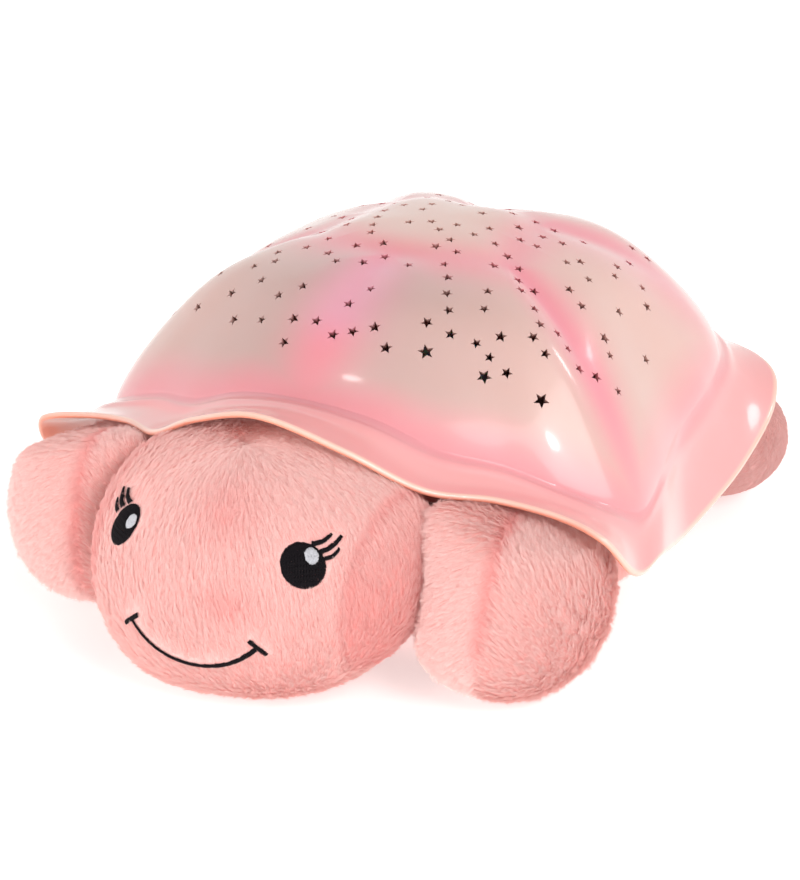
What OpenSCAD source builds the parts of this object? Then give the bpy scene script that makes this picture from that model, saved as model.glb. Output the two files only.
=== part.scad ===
// Star night light projector in the form of a plush turtle.
// A pierced, lobed hard shell sits on a plate that carries the light, the
// switches and the batteries; the stuffed body, head and flippers lie below.
// The turtle looks along -Y, its left side is +X, and the floor is Z = 0.

/* [Shell] */
// width over the two front corners of the brim
shell_width = 234; // [200:1:270]
// length of the brim from nape to tail
shell_length = 223; // [190:1:260]
// top of the dome above the floor
shell_height = 127.4; // [115:0.2:150]
// moulded wall
wall = 2.2; // [1.6:0.1:3]
// how full the dome is from its crown down to its edge
dome_fullness = 2.29; // [2:0.01:2.6]
// how upright the dome is at its edge
dome_rise = 1.25; // [1.1:0.05:1.6]
// depth of the furrows between the scutes
furrow_depth = 1.8; // [0:0.1:3]
// half width of a furrow
furrow_width = 7; // [5:0.5:10]
// how far a scute swells between its furrows
pillow_rise = 3.2; // [0:0.1:5]
// distance from a furrow to the top of a swelling
pillow_width = 16; // [12:0.5:20]
// size of the crown scute as a share of the dome
crown_reach = 0.36; // [0.28:0.01:0.45]
// how far the brim sags between the dome and its lip
brim_sag = 2.4; // [0:0.1:5]

/* [Stars] */
// places tried for the scattered stars
star_count = 190; // [80:1:220]
// share of those places that get a star
star_share = 0.7; // [0.3:0.02:1]
// smallest scattered star, tip to tip
star_small = 3.8; // [3:0.1:5]
// largest scattered star, tip to tip
star_large = 4.7; // [4:0.1:6]
// ratio of a star's notch radius to its tip radius
star_notch = 0.45; // [0.36:0.01:0.55]
// size of the largest star of the front row, tip to tip
star_front = 5.8; // [5:0.1:7]

/* [Base] */
// top of the base plate above the floor
plate_top = 53; // [48:0.5:60]
// thickness of the base plate
plate_thickness = 3; // [2:0.5:5]
// base plate outline as a share of the dome's edge
plate_share = 0.8; // [0.7:0.01:0.86]
// how far out the screw bosses stand, as a share of the dome
boss_reach = 0.6; // [0.5:0.01:0.68]
// radius of a screw boss
boss_radius = 4; // [3:0.1:6]
// radius of the shell screws
screw_radius = 1.5; // [1.25:0.05:2]
// radius of the screw heads
screw_head_radius = 2.8; // [2.2:0.1:4]
// height of the screw heads
screw_head_height = 1.8; // [1.2:0.1:2.4]
// length of a shell screw under its head
screw_length = 12; // [8:0.5:16]

/* [Batteries] */
// radius of an AAA cell
cell_radius = 5.25; // [5.25:0.05:7.25]
// length of an AAA cell over its nub
cell_length = 44.5; // [44:0.5:51]
// number of cells side by side
cell_count = 3; // [2:1:4]
// space at each end of a cell for its contacts
contact_room = 4; // [3:0.5:8]
// room beside the cells for the door's screw post
screw_room = 7; // [6.5:0.5:12]
// wall of the battery housing
housing_wall = 2; // [1.5:0.1:3]
// height of the battery door's outside above the floor
door_height = 15; // [12:0.5:20]
// thickness of the battery door
door_thickness = 2.2; // [1.6:0.1:3]
// middle of the battery housing, back from the middle of the shell
housing_back = 8; // [0:1:20]

/* [Light] */
// radius of the frosted light dome
light_radius = 24; // [18:0.5:30]
// wall of the light dome
light_wall = 1.5; // [1:0.1:2.5]
// radius of the lamp board
board_radius = 18; // [14:0.5:22]
// thickness of both circuit boards
board_thickness = 1.6; // [1:0.1:2]
// radius of a lamp
lamp_radius = 2.5; // [1.5:0.1:4]
// distance of each lamp from the board's middle
lamp_spread = 8; // [6:0.5:11]

/* [Buttons] */
// radius of a button cap
button_radius = 6; // [5:0.1:7]
// how far a cap stands out of the shell
button_proud = 2.2; // [1.2:0.1:3.5]
// travel of a button
button_travel = 0.8; // [0.3:0.1:1.5]
// lean of the buttons back from straight up
button_lean = 40; // [30:1:50]
// place of the row, as a share out from the crown
button_reach = 0.74; // [0.66:0.01:0.8]
// distance between neighbouring buttons, in steps round the dome
button_pitch = 0.667; // [0.6:0.01:0.75]
// depth of the switch board below the shell
switch_depth = 15; // [13:0.5:20]

/* [Plush] */
// width of the head
head_width = 120; // [100:1:132]
// depth of the head, nose to nape
head_depth = 86; // [72:1:96]
// drop from the top of the brim over the nape to the top of the head
head_drop = 8.5; // [8:0.1:14]
// middle of the head, forward of the middle of the shell
head_forward = 112; // [100:0.5:120]
// how far the head leans, its crown back and its chin forward
head_lean = 0.23; // [0:0.01:0.4]
// depth of the neck seam, forward of the middle of the shell
neck_forward = 76.5; // [70:0.5:90]
// width of a front flipper
front_width = 62; // [50:1:70]
// length of a front flipper
front_length = 80; // [60:1:90]
// height of a front flipper
front_height = 67; // [50:1:72]
// middle of a front flipper, out from the middle of the turtle
front_out = 81; // [72:0.5:90]
// middle of a front flipper, forward of the middle of the shell
front_forward = 82; // [72:0.5:92]
// width of a rear flipper
rear_width = 66; // [50:1:76]
// length of a rear flipper
rear_length = 62; // [50:1:72]
// height of a rear flipper
rear_height = 50; // [40:1:58]
// middle of a rear flipper, out from the middle of the turtle
rear_out = 66; // [56:0.5:76]
// middle of a rear flipper, back from the middle of the shell
rear_back = 101.5; // [92:0.5:112]
// width of the body cushion
torso_width = 164; // [150:1:180]
// length of the body cushion, from the neck seam to the tail
torso_length = 171; // [160:1:185]
// roundness of the stuffed pieces, 1 is a plain ellipsoid
plumpness = 0.93; // [0.8:0.01:1]

/* [Face] */
// radius of an embroidered eye
eye_radius = 7.3; // [7:0.1:11]
// eyes: turn from straight ahead
eye_turn = 37; // [30:1:55]
// eyes: lift above the middle of the head
eye_lift = 21; // [10:1:40]
// thickness of the embroidery
stitch_thickness = 0.7; // [0.4:0.1:1.5]
// width of the stitched line of the mouth
mouth_width = 1.45; // [1:0.05:2.5]
// mouth: turn of its corners from straight ahead
mouth_turn = 24.5; // [15:0.5:35]
// mouth: height of its corners, as an angle about the head's middle
mouth_corner = -15; // [-25:1:0]
// mouth: height of its lowest point, as an angle about the head's middle
mouth_middle = -31; // [-50:1:-25]

/* [Fits] */
// slack between a moving piece and its guide
running_slack = 0.25; // [0.15:0.05:0.5]
// slack round a piece that is fixed in place
fixed_slack = 0.1; // [0.05:0.05:0.3]
// gap between stuffed pieces that press on each other
soft_gap = 0.3; // [0.2:0.1:1]

/* [Hidden] */
steps_per_key = 2;
dome_rows = 10;
// dome rows, counted from the crown, that have half as many points
crown_rows = 4;
// stars set apart from the scatter: [share round from nape, share out, share of the front size]
set_stars = [[0.154, 0.845, 1], [0.110, 0.825, 0.95], [0.069, 0.785, 1], [0.029, 0.755, 0.83],
    [0.040, 0.815, 0.83], [0.003, 0.810, 0.83], [0.069, 0.690, 0.8], [0.131, 0.695, 0.8],
    [0.237, 0.770, 0.86], [0.273, 0.730, 0.9], [0.306, 0.860, 0.8], [0.969, 0.780, 0.83],
    [0.912, 0.800, 0.83], [0.973, 0.865, 0.8]];
// places of the screw bosses on the left side, as shares of the way round from the nape
boss_shares = [0.19, 0.31, 0.43];

pink = [0.95, 0.68, 0.68];
cream = [0.98, 0.93, 0.86];
black = [0.10, 0.08, 0.09];
copper = [0.85, 0.55, 0.35];
steel = [0.75, 0.76, 0.78];
board_green = [0.10, 0.42, 0.26];

// ---- shell form -------------------------------------------------------
// keys run from the nape over the left side to the tail, as shares of
// [half width, length, height]; the right side is their mirror image
brim_keys = [[0, -0.500, 0.734], [0.25, -0.473, 0.664], [0.45, -0.424, 0.562],
    [0.62, -0.365, 0.530], [0.80, -0.339, 0.499], [0.95, -0.348, 0.467], [1, -0.294, 0.350],
    [0.98, -0.186, 0.326], [0.91, -0.016, 0.263], [0.90, 0.20, 0.326], [0.87, 0.352, 0.428],
    [0.735, 0.442, 0.483], [0.36, 0.482, 0.514], [0, 0.50, 0.552]];
edge_keys = [[0, -0.374, 0.699], [0.214, -0.361, 0.675], [0.402, -0.339, 0.612],
    [0.573, -0.298, 0.573], [0.726, -0.267, 0.518], [0.838, -0.226, 0.463],
    [0.889, -0.164, 0.416], [0.855, -0.06, 0.447], [0.795, 0.07, 0.487], [0.761, 0.213, 0.526],
    [0.692, 0.334, 0.557], [0.538, 0.419, 0.581], [0.282, 0.442, 0.581], [0, 0.428, 0.573]];
crown_back = 0.034;
furrow_keys = [0, 6, 10, 13];
shell_size = [shell_width / 2, shell_length, shell_height];
crown = [0, crown_back * shell_length, shell_height];

// the whole turtle is centred on the origin, nose to rear flippers
head_tall = brim_keys[0][2] * shell_height - head_drop;
head_size = [head_width / 2, head_depth / 2, head_tall / 2];
head_reach = norm([head_size[1], head_lean * head_size[2]]);
middle = (rear_back + rear_length / 2 - head_forward - head_reach) / 2;
module placed() translate([0, -middle, 0]) children();

function sized(k) = [for (i = [0:2]) k[i] * shell_size[i]];
function both_sides(h) = concat([for (k = h) sized(k)],
    [for (i = [len(h) - 2:-1:1]) let (k = sized(h[i])) [-k[0], k[1], k[2]]]);
function curve(a, b, c, d, t) =
    (2 * b + (c - a) * t + (2 * a - 5 * b + 4 * c - d) * t * t
    + (3 * b - a - 3 * c + d) * t * t * t) / 2;
function on_loop(k, s) = let (m = len(k), i = floor(s), t = s - i)
    curve(k[(i + m - 1) % m], k[i % m], k[(i + 1) % m], k[(i + 2) % m], t);
brim_loop = both_sides(brim_keys);
edge_loop = both_sides(edge_keys);
keys_round = len(edge_loop);
furrows = concat(furrow_keys,
    [for (i = [len(furrow_keys) - 2:-1:1]) keys_round - furrow_keys[i]]);
columns = keys_round * steps_per_key;

function bell(x) = exp(-x * x);
function ramp(a, b, x) = let (t = max(0, min(1, (x - a) / (b - a)))) t * t * (3 - 2 * t);
function apart(a, b) = let (d = abs(a - b) % keys_round) min(d, keys_round - d);
function unit(v) = v / norm(v);
key_pitch = 2.6 * (shell_width + shell_length) / 2 / keys_round;

// furrows run out from the crown scute between the others and fade before the edge; where
// they start, short arms of each run round the crown scute
function off_furrow(u, s) = min([for (f = furrows) apart(s, f)]) * key_pitch * u;
function furrow(u, s) =
    let (off = off_furrow(u, s) / furrow_width,
        out = bell(off) * ramp(0.24, 0.36, u) * (1 - ramp(0.45, 0.9, u)),
        round = bell((u - crown_reach) * shell_length * 0.42 / furrow_width) * bell(off / 2.2))
    furrow_depth * max(out, round);
// each scute swells between its furrows, most where the dome turns down
pillow_reach = 0.64;
pillow_span = 0.16;
function pillow(u, s) =
    pillow_rise * (1 - bell(off_furrow(u, s) / pillow_width)) * bell((u - pillow_reach) / pillow_span);
function dome(u, s) =
    let (e = on_loop(edge_loop, s),
        rise = pow(1 - pow(min(1, u), dome_fullness), 1 / dome_rise),
        p = [e[0] * u, crown[1] + (e[1] - crown[1]) * u, e[2] + (crown[2] - e[2]) * rise],
        inward = unit([0, crown[1], shell_height * 0.4] - p))
    p + inward * (furrow(u, s) - pillow(u, s));
function brim(v, s) =
    let (e = on_loop(edge_loop, s), b = on_loop(brim_loop, s))
    e + (b - e) * v + [0, 0, -brim_sag * sin(180 * pow(v, 0.8)) + 0.8 * bell((v - 0.2) / 0.08)];

dome_shares = [for (i = [1:dome_rows]) sin(90 * pow(i / dome_rows, 0.9))];
brim_shares = [0.2, 0.5, 0.8, 1];
row_count = dome_rows + len(brim_shares);
// rows near the crown have half as many points as the rest
function places(r) = r < crown_rows ? columns / 2 : columns;
function skin(r, i) = let (s = i * keys_round / places(r))
    r < dome_rows ? dome(dome_shares[r], s) : brim(brim_shares[r - dome_rows], s);
// way out of the skin, from the rows above and below and the neighbours in the row
function outward(r, i) =
    let (n = places(r),
        above = max(r - 1, 0),
        below = min(r + 1, row_count - 1),
        down = skin(below, i * places(below) / n) - skin(above, i * places(above) / n),
        along = skin(r, (i + 1) % n) - skin(r, (i + n - 1) % n))
    unit(cross(down, along));
outer_rows = [for (r = [0:row_count - 1]) [for (i = [0:places(r) - 1]) skin(r, i)]];
inner_rows = [for (r = [0:row_count - 1]) [for (i = [0:places(r) - 1])
    outer_rows[r][i] - wall * outward(r, i)]];

function strip(a, b, n) = [for (i = [0:n - 1]) for (k = [0, 1]) let (j = (i + 1) % n)
    k == 0 ? [a + i, b + i, b + j] : [a + i, b + j, a + j]];
// a strip from a ring of n points to a ring of 2 * n points
function doubling(a, b, n) =
    [for (i = [0:n - 1]) for (k = [0:2]) let (j = (i + 1) % n, c = b + 2 * i)
        k == 0 ? [a + i, c, c + 1] : k == 1 ? [a + i, c + 1, a + j] : [a + j, c + 1, b + 2 * j]];
function flip(faces) = [for (f = faces) [f[2], f[1], f[0]]];

// index of the first point of row r
function row_start(r) = r * columns - min(r, crown_rows) * columns / 2;
// faces between the first m rows
function row_faces(m) = [for (r = [0:m - 2]) each places(r) == places(r + 1)
    ? strip(row_start(r), row_start(r + 1), places(r))
    : doubling(row_start(r), row_start(r + 1), places(r))];
module shell_skin() {
    m = row_count;
    half = row_start(m);
    points = concat([for (r = outer_rows) each r], [for (r = inner_rows) each r],
        [crown, crown - [0, 0, wall]]);
    skin_faces = row_faces(m);
    inner = [for (f = skin_faces) [f[0] + half, f[1] + half, f[2] + half]];
    lip = strip(row_start(m - 1), half + row_start(m - 1), columns);
    n = places(0);
    cap = [for (i = [0:n - 1]) [2 * half, (i + 1) % n, i]];
    under = [for (i = [0:n - 1]) [2 * half + 1, half + i, half + (i + 1) % n]];
    polyhedron(points, concat(flip(skin_faces), inner, flip(lip), cap, under), convexity = 8);
}

// where the screw bosses meet the dome
bosses = [for (b = boss_shares) for (s = [b, 1 - b]) dome(boss_reach, s * keys_round)];

// ---- stars ---------------------------------------------------------------
// an even share from 0 to 1 that looks random
function scatter(k, salt) = let (x = sin(k * 127.1 + salt * 311.7) * 43758.55) x - floor(x);
function normal_at(u, s) = unit(cross(dome(min(u + 0.02, 1), s) - dome(u - 0.02, s),
    dome(u, s + 0.2) - dome(u, (s + keys_round - 0.2) % keys_round)));
function star_outline(r) = [for (i = [0:9]) let (q = i % 2 == 0 ? r : r * star_notch)
    [q * cos(36 * i), q * sin(36 * i)]];

module star(u, s, size, turn) {
    n = normal_at(u, s);
    translate(dome(u, s)) rotate([0, acos(n[2]), atan2(n[1], n[0])]) rotate(turn)
        translate([0, 0, -wall * 2.5]) linear_extrude(wall * 4) polygon(star_outline(size / 2));
}
// stars lie further apart towards the edge, and each is turned on by the golden share
golden = 0.61803;
function star_reach(k) = 0.05 + 0.77 * pow((k + 0.5) / star_count, 0.56);
function button_near(u, s) = u > button_reach - 0.16 && apart(s, keys_round / 2) < 2.3;
// [share out, place round, size]
set_places = [for (b = set_stars) [b[1], b[0] * keys_round, b[2] * star_front]];
tries = [for (k = [0:star_count - 1]) if (scatter(k, 9) < star_share)
    [star_reach(k) + 0.035 * (scatter(k, 1) - 0.5),
        ((k * golden + 0.1 * scatter(k, 2)) % 1) * keys_round,
        star_small + (star_large - star_small) * scatter(k, 3)]];
try_points = [for (t = tries) dome(t[0], t[1])];
set_points = [for (b = set_places) dome(b[0], b[1])];
function clear_of(p, points, last, room) =
    len([for (i = [0:1:last]) if (norm(p - points[i]) < room) i]) == 0;
star_places = concat(set_places, [for (k = [0:len(tries) - 1]) let (p = try_points[k])
    if (!button_near(tries[k][0], tries[k][1])
        && clear_of(p, try_points, k - 1, star_large * 1.35)
        && clear_of(p, set_points, len(set_points) - 1, star_large * 1.35)
        && clear_of(p, bosses, len(bosses) - 1, star_large + boss_radius)) tries[k]]);
module stars() for (i = [0:len(star_places) - 1]) let (t = star_places[i])
    star(t[0], t[1], t[2], 360 * scatter(t[0], 4));

// everything inside the middle of the dome's wall, down to below the plate
module dome_core() {
    m = dome_rows;
    last = row_start(m);
    rim = row_start(m - 1);
    points = concat(
        [for (r = [0:m - 1]) each [for (i = [0:places(r) - 1]) (outer_rows[r][i] + inner_rows[r][i]) / 2]],
        [crown - [0, 0, wall / 2], [crown[0], crown[1], plate_top / 2]]);
    top = [for (i = [0:places(0) - 1]) [last, (i + 1) % places(0), i]];
    foot = [for (i = [0:columns - 1]) [last + 1, rim + i, rim + (i + 1) % columns]];
    polyhedron(points, concat(flip(row_faces(m)), top, foot), convexity = 6);
}

// ---- screw bosses ----------------------------------------------------
module boss(p) {
    tall = p[2] + boss_radius - plate_top;
    centre = [crown[0], crown[1]];
    turn = atan2(centre[1] - p[1], centre[0] - p[0]);
    translate([p[0], p[1], plate_top]) difference() {
        union() {
            cylinder(r = boss_radius, h = tall, $fn = 20);
            for (a = [-75, 75]) rotate(turn + a) hull() {
                translate([0, -wall / 2, tall * 0.5]) cube([0.1, wall, tall * 0.5]);
                translate([0, -wall / 2, tall * 0.85]) cube([boss_radius * 2.2, wall, tall * 0.15]);
            }
        }
        translate([0, 0, -1]) cylinder(r = screw_radius + fixed_slack, h = screw_length + 1, $fn = 16);
    }
}

// ---- buttons -----------------------------------------------------------
button_axis = [0, sin(button_lean), cos(button_lean)];
button_across = [0, cos(button_lean), -sin(button_lean)];
button_spots = [for (b = [-1.5:1:1.5]) dome(button_reach, keys_round / 2 + b * button_pitch)];
board_level = button_spots[0] * button_axis - switch_depth;
board_side = button_spots[1] * button_across;
module leaning() rotate([-button_lean, 0, 0]) children();
module at_button(k) {
    p = button_spots[k];
    translate([p[0], 0, 0]) leaning() translate([0, p * button_across, p * button_axis]) children();
}

module shell() placed() color(cream) difference() {
    union() {
        shell_skin();
        intersection() {
            for (p = bosses) boss(p);
            dome_core();
        }
    }
    stars();
    for (k = [0:3]) at_button(k) translate([0, 0, -wall * 3])
        cylinder(r = button_radius + running_slack * 1.6, h = wall * 6, $fn = 24);
}

// ---- base plate and battery housing ------------------------------------
module rounded(x, y, r) {
    square([x - 2 * r, y], center = true);
    square([x, y - 2 * r], center = true);
    for (a = [-1, 1]) for (b = [-1, 1])
        translate([a * (x / 2 - r), b * (y / 2 - r)]) circle(r, $fn = 24);
}
bay_length = cell_length + 2 * contact_room + screw_room;
cells_x = -screw_room / 2;
bay_width = cell_count * (2 * cell_radius + 1) + 1;
housing_size = [bay_length + 2 * housing_wall, bay_width + 2 * housing_wall];
housing_y = crown[1] + housing_back;
bay_floor = door_height + door_thickness;
bay_top = bay_floor + 2 * cell_radius + 1.2;
plate_under = plate_top - plate_thickness;
door_screw_length = 7;
lead_hole = [bay_length * 0.4, housing_y + bay_width / 2 - 4];
door_size = [bay_length - 2 * running_slack, bay_width - 2 * running_slack];
door_screw_x = (bay_length - screw_room) / 2;
post_radius = screw_room / 2 - 0.2;
plate_outline = [for (i = [0:2 * keys_round - 1]) let (e = on_loop(edge_loop, i / 2))
    [e[0] * plate_share, crown[1] + (e[1] - crown[1]) * plate_share]];
// pegs under the lamp board
peg_radius = 2.6;
peg_height = 4;
peg_out = board_radius - 4;
module at_pegs(z) for (a = [0, 120, 240])
    translate([crown[0], crown[1], z]) rotate(a) translate([peg_out, 0, 0]) children();
// screws of both circuit boards
small_screw_radius = 1;
small_head_radius = 2;
small_head_height = 1.4;
lead_hole_radius = 2;

module base_plate() placed() color(cream) difference() {
    union() {
        translate([0, 0, plate_under]) linear_extrude(plate_thickness) polygon(plate_outline);
        translate([0, housing_y, door_height]) linear_extrude(plate_under - door_height + 1)
            difference() {
                rounded(housing_size[0], housing_size[1], 3);
                square([bay_length, bay_width], center = true);
            }
        translate([0, housing_y, bay_top]) linear_extrude(housing_wall)
            square([bay_length + 1, bay_width + 1], center = true);
        translate([door_screw_x, housing_y, bay_floor])
            cylinder(r = post_radius, h = bay_top - bay_floor + 1, $fn = 32);
        at_pegs(plate_top - 0.5) cylinder(r = peg_radius, h = peg_height + 0.5, $fn = 32);
    }
    translate([door_screw_x, housing_y, bay_floor - 1])
        cylinder(r = screw_radius + fixed_slack, h = door_screw_length, $fn = 32);
    for (p = bosses) translate([p[0], p[1], plate_under - 1])
        cylinder(r = screw_radius + fixed_slack * 2, h = plate_thickness + 2, $fn = 32);
    at_pegs(plate_top - 1)
        cylinder(r = small_screw_radius + fixed_slack, h = peg_height + 2, $fn = 32);
    for (x = [-1, 1]) translate([x * lead_hole[0], lead_hole[1], plate_under - 1])
        cylinder(r = lead_hole_radius, h = plate_thickness + 2, $fn = 32);
}

module shell_screws() placed() color(steel)
    for (p = bosses) translate([p[0], p[1], plate_under - screw_head_height]) {
        cylinder(r = screw_head_radius, h = screw_head_height, $fn = 32);
        translate([0, 0, 1]) cylinder(r = screw_radius, h = screw_length, $fn = 32);
    }

// ---- light ----------------------------------------------------------------
board_rest = plate_top + peg_height;
dome_flange = 4;
dome_straight = 6;
module light_dome() placed() color([0.96, 0.96, 0.93, 0.6])
    translate([crown[0], crown[1], plate_top]) difference() {
        rotate_extrude($fn = 64) union() {
            translate([light_radius - light_wall, 0]) square([dome_flange + light_wall, 1.6]);
            translate([light_radius - light_wall, 0]) square([light_wall, dome_straight]);
            translate([0, dome_straight]) intersection() {
                difference() {
                    circle(light_radius, $fn = 96);
                    circle(light_radius - light_wall, $fn = 96);
                }
                square(light_radius + 1);
            }
        }
        // notch that lets the lamp lead out
        translate([-2.4, light_radius - 6, -1]) cube([4.8, 12, 3]);
    }

// a lamp stands on two pins
lamp_turns = [60, 180, 300];
pin_pitch = 2.54;
pin_radius = 0.3;
module at_pins() for (a = lamp_turns) for (d = [-1, 1])
    rotate(a) translate([lamp_spread, d * pin_pitch / 2, 0]) children();

module lamp_board() placed() color(board_green) difference() {
    translate([crown[0], crown[1], board_rest]) difference() {
        cylinder(r = board_radius, h = board_thickness, $fn = 64);
        translate([0, 0, -1]) at_pins() cylinder(r = pin_radius + fixed_slack, h = 4, $fn = 16);
    }
    at_pegs(board_rest - 1) cylinder(r = small_screw_radius + 3 * fixed_slack, h = 4, $fn = 32);
}

module lamp_board_screws() placed() color(steel) at_pegs(board_rest + board_thickness) {
    cylinder(r = small_head_radius, h = small_head_height, $fn = 32);
    translate([0, 0, -5]) cylinder(r = small_screw_radius, h = 5.5, $fn = 32);
}

lamp_straight = 6;
module lamp(k, tint) placed() color(tint)
    translate([crown[0], crown[1], board_rest + board_thickness])
        rotate(lamp_turns[k]) translate([lamp_spread, 0, 0]) rotate_extrude($fn = 48) union() {
            square([lamp_radius + 0.4, 1]);
            square([lamp_radius, lamp_straight]);
            translate([0, lamp_straight]) intersection() {
                circle(lamp_radius, $fn = 48);
                square(lamp_radius + 1);
            }
        }
module blue_lamp() lamp(0, [0.2, 0.35, 0.95]);
module green_lamp() lamp(1, [0.2, 0.85, 0.35]);
module amber_lamp() lamp(2, [1.0, 0.62, 0.1]);

module lamp_pins() placed() color(steel) translate([crown[0], crown[1], board_rest - 1.2])
    at_pins() cylinder(r = pin_radius, h = board_thickness + 1.2, $fn = 16);

// ---- switches and buttons -----------------------------------------------
switch_tall = 4;
switch_side = 6.2;
board_size = [abs(button_spots[0][0]) * 2 + 8, 14];
board_screw_x = (abs(button_spots[0][0]) + abs(button_spots[1][0])) / 2;
stem_radius = 1.9;
module on_board() leaning() translate([0, board_side, board_level]) children();

module switch_board() placed() color(board_green) on_board() difference() {
    translate([-board_size[0] / 2, -board_size[1] / 2, -board_thickness])
        cube([board_size[0], board_size[1], board_thickness]);
    for (x = [-1, 1]) translate([x * board_screw_x, 0, -3])
        cylinder(r = small_screw_radius + 3 * fixed_slack, h = 6, $fn = 32);
}

module switch_board_screws() placed() color(steel) on_board()
    for (x = [-1, 1]) translate([x * board_screw_x, 0, 0]) {
        cylinder(r = small_head_radius, h = small_head_height, $fn = 32);
        translate([0, 0, -6]) cylinder(r = small_screw_radius, h = 6.5, $fn = 32);
    }

module switches() placed() color(black) for (k = [0:3]) translate([button_spots[k][0], 0, 0])
    leaning() translate([0, board_side, board_level]) difference() {
        translate([-switch_side / 2, -switch_side / 2, 0]) cube([switch_side, switch_side, switch_tall]);
        translate([0, button_spots[k] * button_across - board_side, switch_tall - button_travel - 2])
            cylinder(r = stem_radius + running_slack, h = 5, $fn = 32);
    }

chip = [10, 4, 1.5];
module timer_chip() placed() color(black) on_board()
    translate([-chip[0] / 2, -6.5, -board_thickness - chip[2]]) cube(chip);

// two cheeks stand on the plate and carry the board
cheek_thickness = 5;
function leaned(y, z) =
    [y * cos(button_lean) + z * sin(button_lean), z * cos(button_lean) - y * sin(button_lean)];
function bracket_at(z) = let (p = leaned(board_side, z)) [0, p[0], p[1]];
module switch_bracket() placed() color(cream) {
    rest = board_level - board_thickness;
    front = leaned(board_side - board_size[1] / 2 + 1, rest);
    back = leaned(board_side + board_size[1] / 2 - 1, rest);
    difference() {
        for (x = [-1, 1]) translate([x * board_screw_x - cheek_thickness / 2, 0, 0])
            rotate([90, 0, 90]) linear_extrude(cheek_thickness) difference() {
                polygon([front, back, [back[0], plate_top], [front[0] - 4, plate_top]]);
                translate([(front[0] + back[0]) / 2 - 1, plate_top + 13]) circle(4.5, $fn = 32);
            }
        on_board() for (x = [-1, 1]) translate([x * board_screw_x, 0, -board_thickness - 7])
            cylinder(r = small_screw_radius + fixed_slack, h = 8, $fn = 32);
    }
}

// a button: a cap over a flange that catches under the wall, and a stem down to its switch
flange = 1.4;
module button(k, tint) placed() color(tint) {
    deep = button_spots[k] * button_axis - board_level - switch_tall;
    under = -wall * 2.4;
    at_button(k) {
        rotate_extrude($fn = 64) polygon([[0, under - 1.2], [button_radius + flange, under - 1.2],
            [button_radius + flange, under], [button_radius, under],
            [button_radius, button_proud - 0.8], [button_radius - 0.8, button_proud],
            [button_radius * 0.6, button_proud - 0.3], [0, button_proud - 0.6]]);
        translate([0, 0, -deep - 1.6]) cylinder(r = stem_radius, h = deep + 1.6 + under, $fn = 48);
    }
}
module power_button() button(1, [0.93, 0.55, 0.60]);
module blue_button() button(0, [0.45, 0.62, 0.90]);
module green_button() button(2, [0.50, 0.80, 0.56]);
module amber_button() button(3, [0.97, 0.74, 0.38]);

// ---- cells, contacts and door -----------------------------------------
function cell_y(k) = housing_y + (k - (cell_count - 1) / 2) * (2 * cell_radius + 1);
cell_z = bay_floor + cell_radius + 0.4;
nub_radius = 1.9;
module cells() placed() color(copper) for (k = [0:cell_count - 1])
    translate([cells_x, cell_y(k), cell_z]) rotate([0, k % 2 == 0 ? 90 : -90, 0])
        translate([0, 0, -cell_length / 2])
            rotate_extrude($fn = 48) polygon([[0, 0], [cell_radius - 0.4, 0], [cell_radius, 0.4],
                [cell_radius, cell_length - 1.6], [cell_radius - 0.5, cell_length - 1],
                [nub_radius, cell_length - 1], [nub_radius, cell_length], [0, cell_length]]);

// each contact is a bent strip between the housing's end wall and a cell's end
contact_width = 6;
module contact(k, toward, bend) translate([cells_x, cell_y(k), cell_z])
    rotate(toward * (k % 2 == 0 ? 1 : -1) > 0 ? 0 : 180)
        translate([cell_length / 2, contact_width / 2, 0])
            rotate([90, 0, 0]) linear_extrude(contact_width) polygon(bend);
module cell_springs() placed() color(steel) for (k = [0:cell_count - 1])
    contact(k, -1, [[contact_room, -4.2], [contact_room, 4.4], [contact_room - 0.9, 4.4], [0.6, 1.4],
        [0, 0], [0, -2.2], [0.4, -2.2], [0.45, -0.1], [1, 1], [contact_room - 0.5, 3.6],
        [contact_room - 0.5, -4.2]]);

module cell_plates() placed() color(steel) for (k = [0:cell_count - 1])
    contact(k, 1, [[contact_room, -4.2], [contact_room, -2.4], [0.5, -1.3], [0.5, 1.3],
        [contact_room, 2.4], [contact_room, 4.2], [contact_room - 0.5, 4.2], [contact_room - 0.5, 2.8],
        [0, 1.7], [0, -1.7], [contact_room - 0.5, -2.8], [contact_room - 0.5, -4.2]]);

module battery_door() placed() color(cream) translate([0, housing_y, door_height]) difference() {
    linear_extrude(door_thickness) rounded(door_size[0], door_size[1], 2);
    for (i = [0:3]) translate([-door_size[0] / 2 + 5 + i * 2.4, -8, -0.5]) cube([1.2, 16, 1]);
    translate([door_screw_x, 0, -1]) cylinder(r = screw_radius + fixed_slack, h = 5, $fn = 32);
    translate([door_screw_x, 0, -1]) cylinder(r = screw_head_radius + fixed_slack, h = 2.2, $fn = 32);
}

module door_screw() placed() color(steel) translate([door_screw_x, housing_y, door_height]) {
    cylinder(r = screw_head_radius - 0.3, h = 1.2, $fn = 32);
    cylinder(r = screw_radius, h = door_screw_length - 1, $fn = 32);
}

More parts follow.
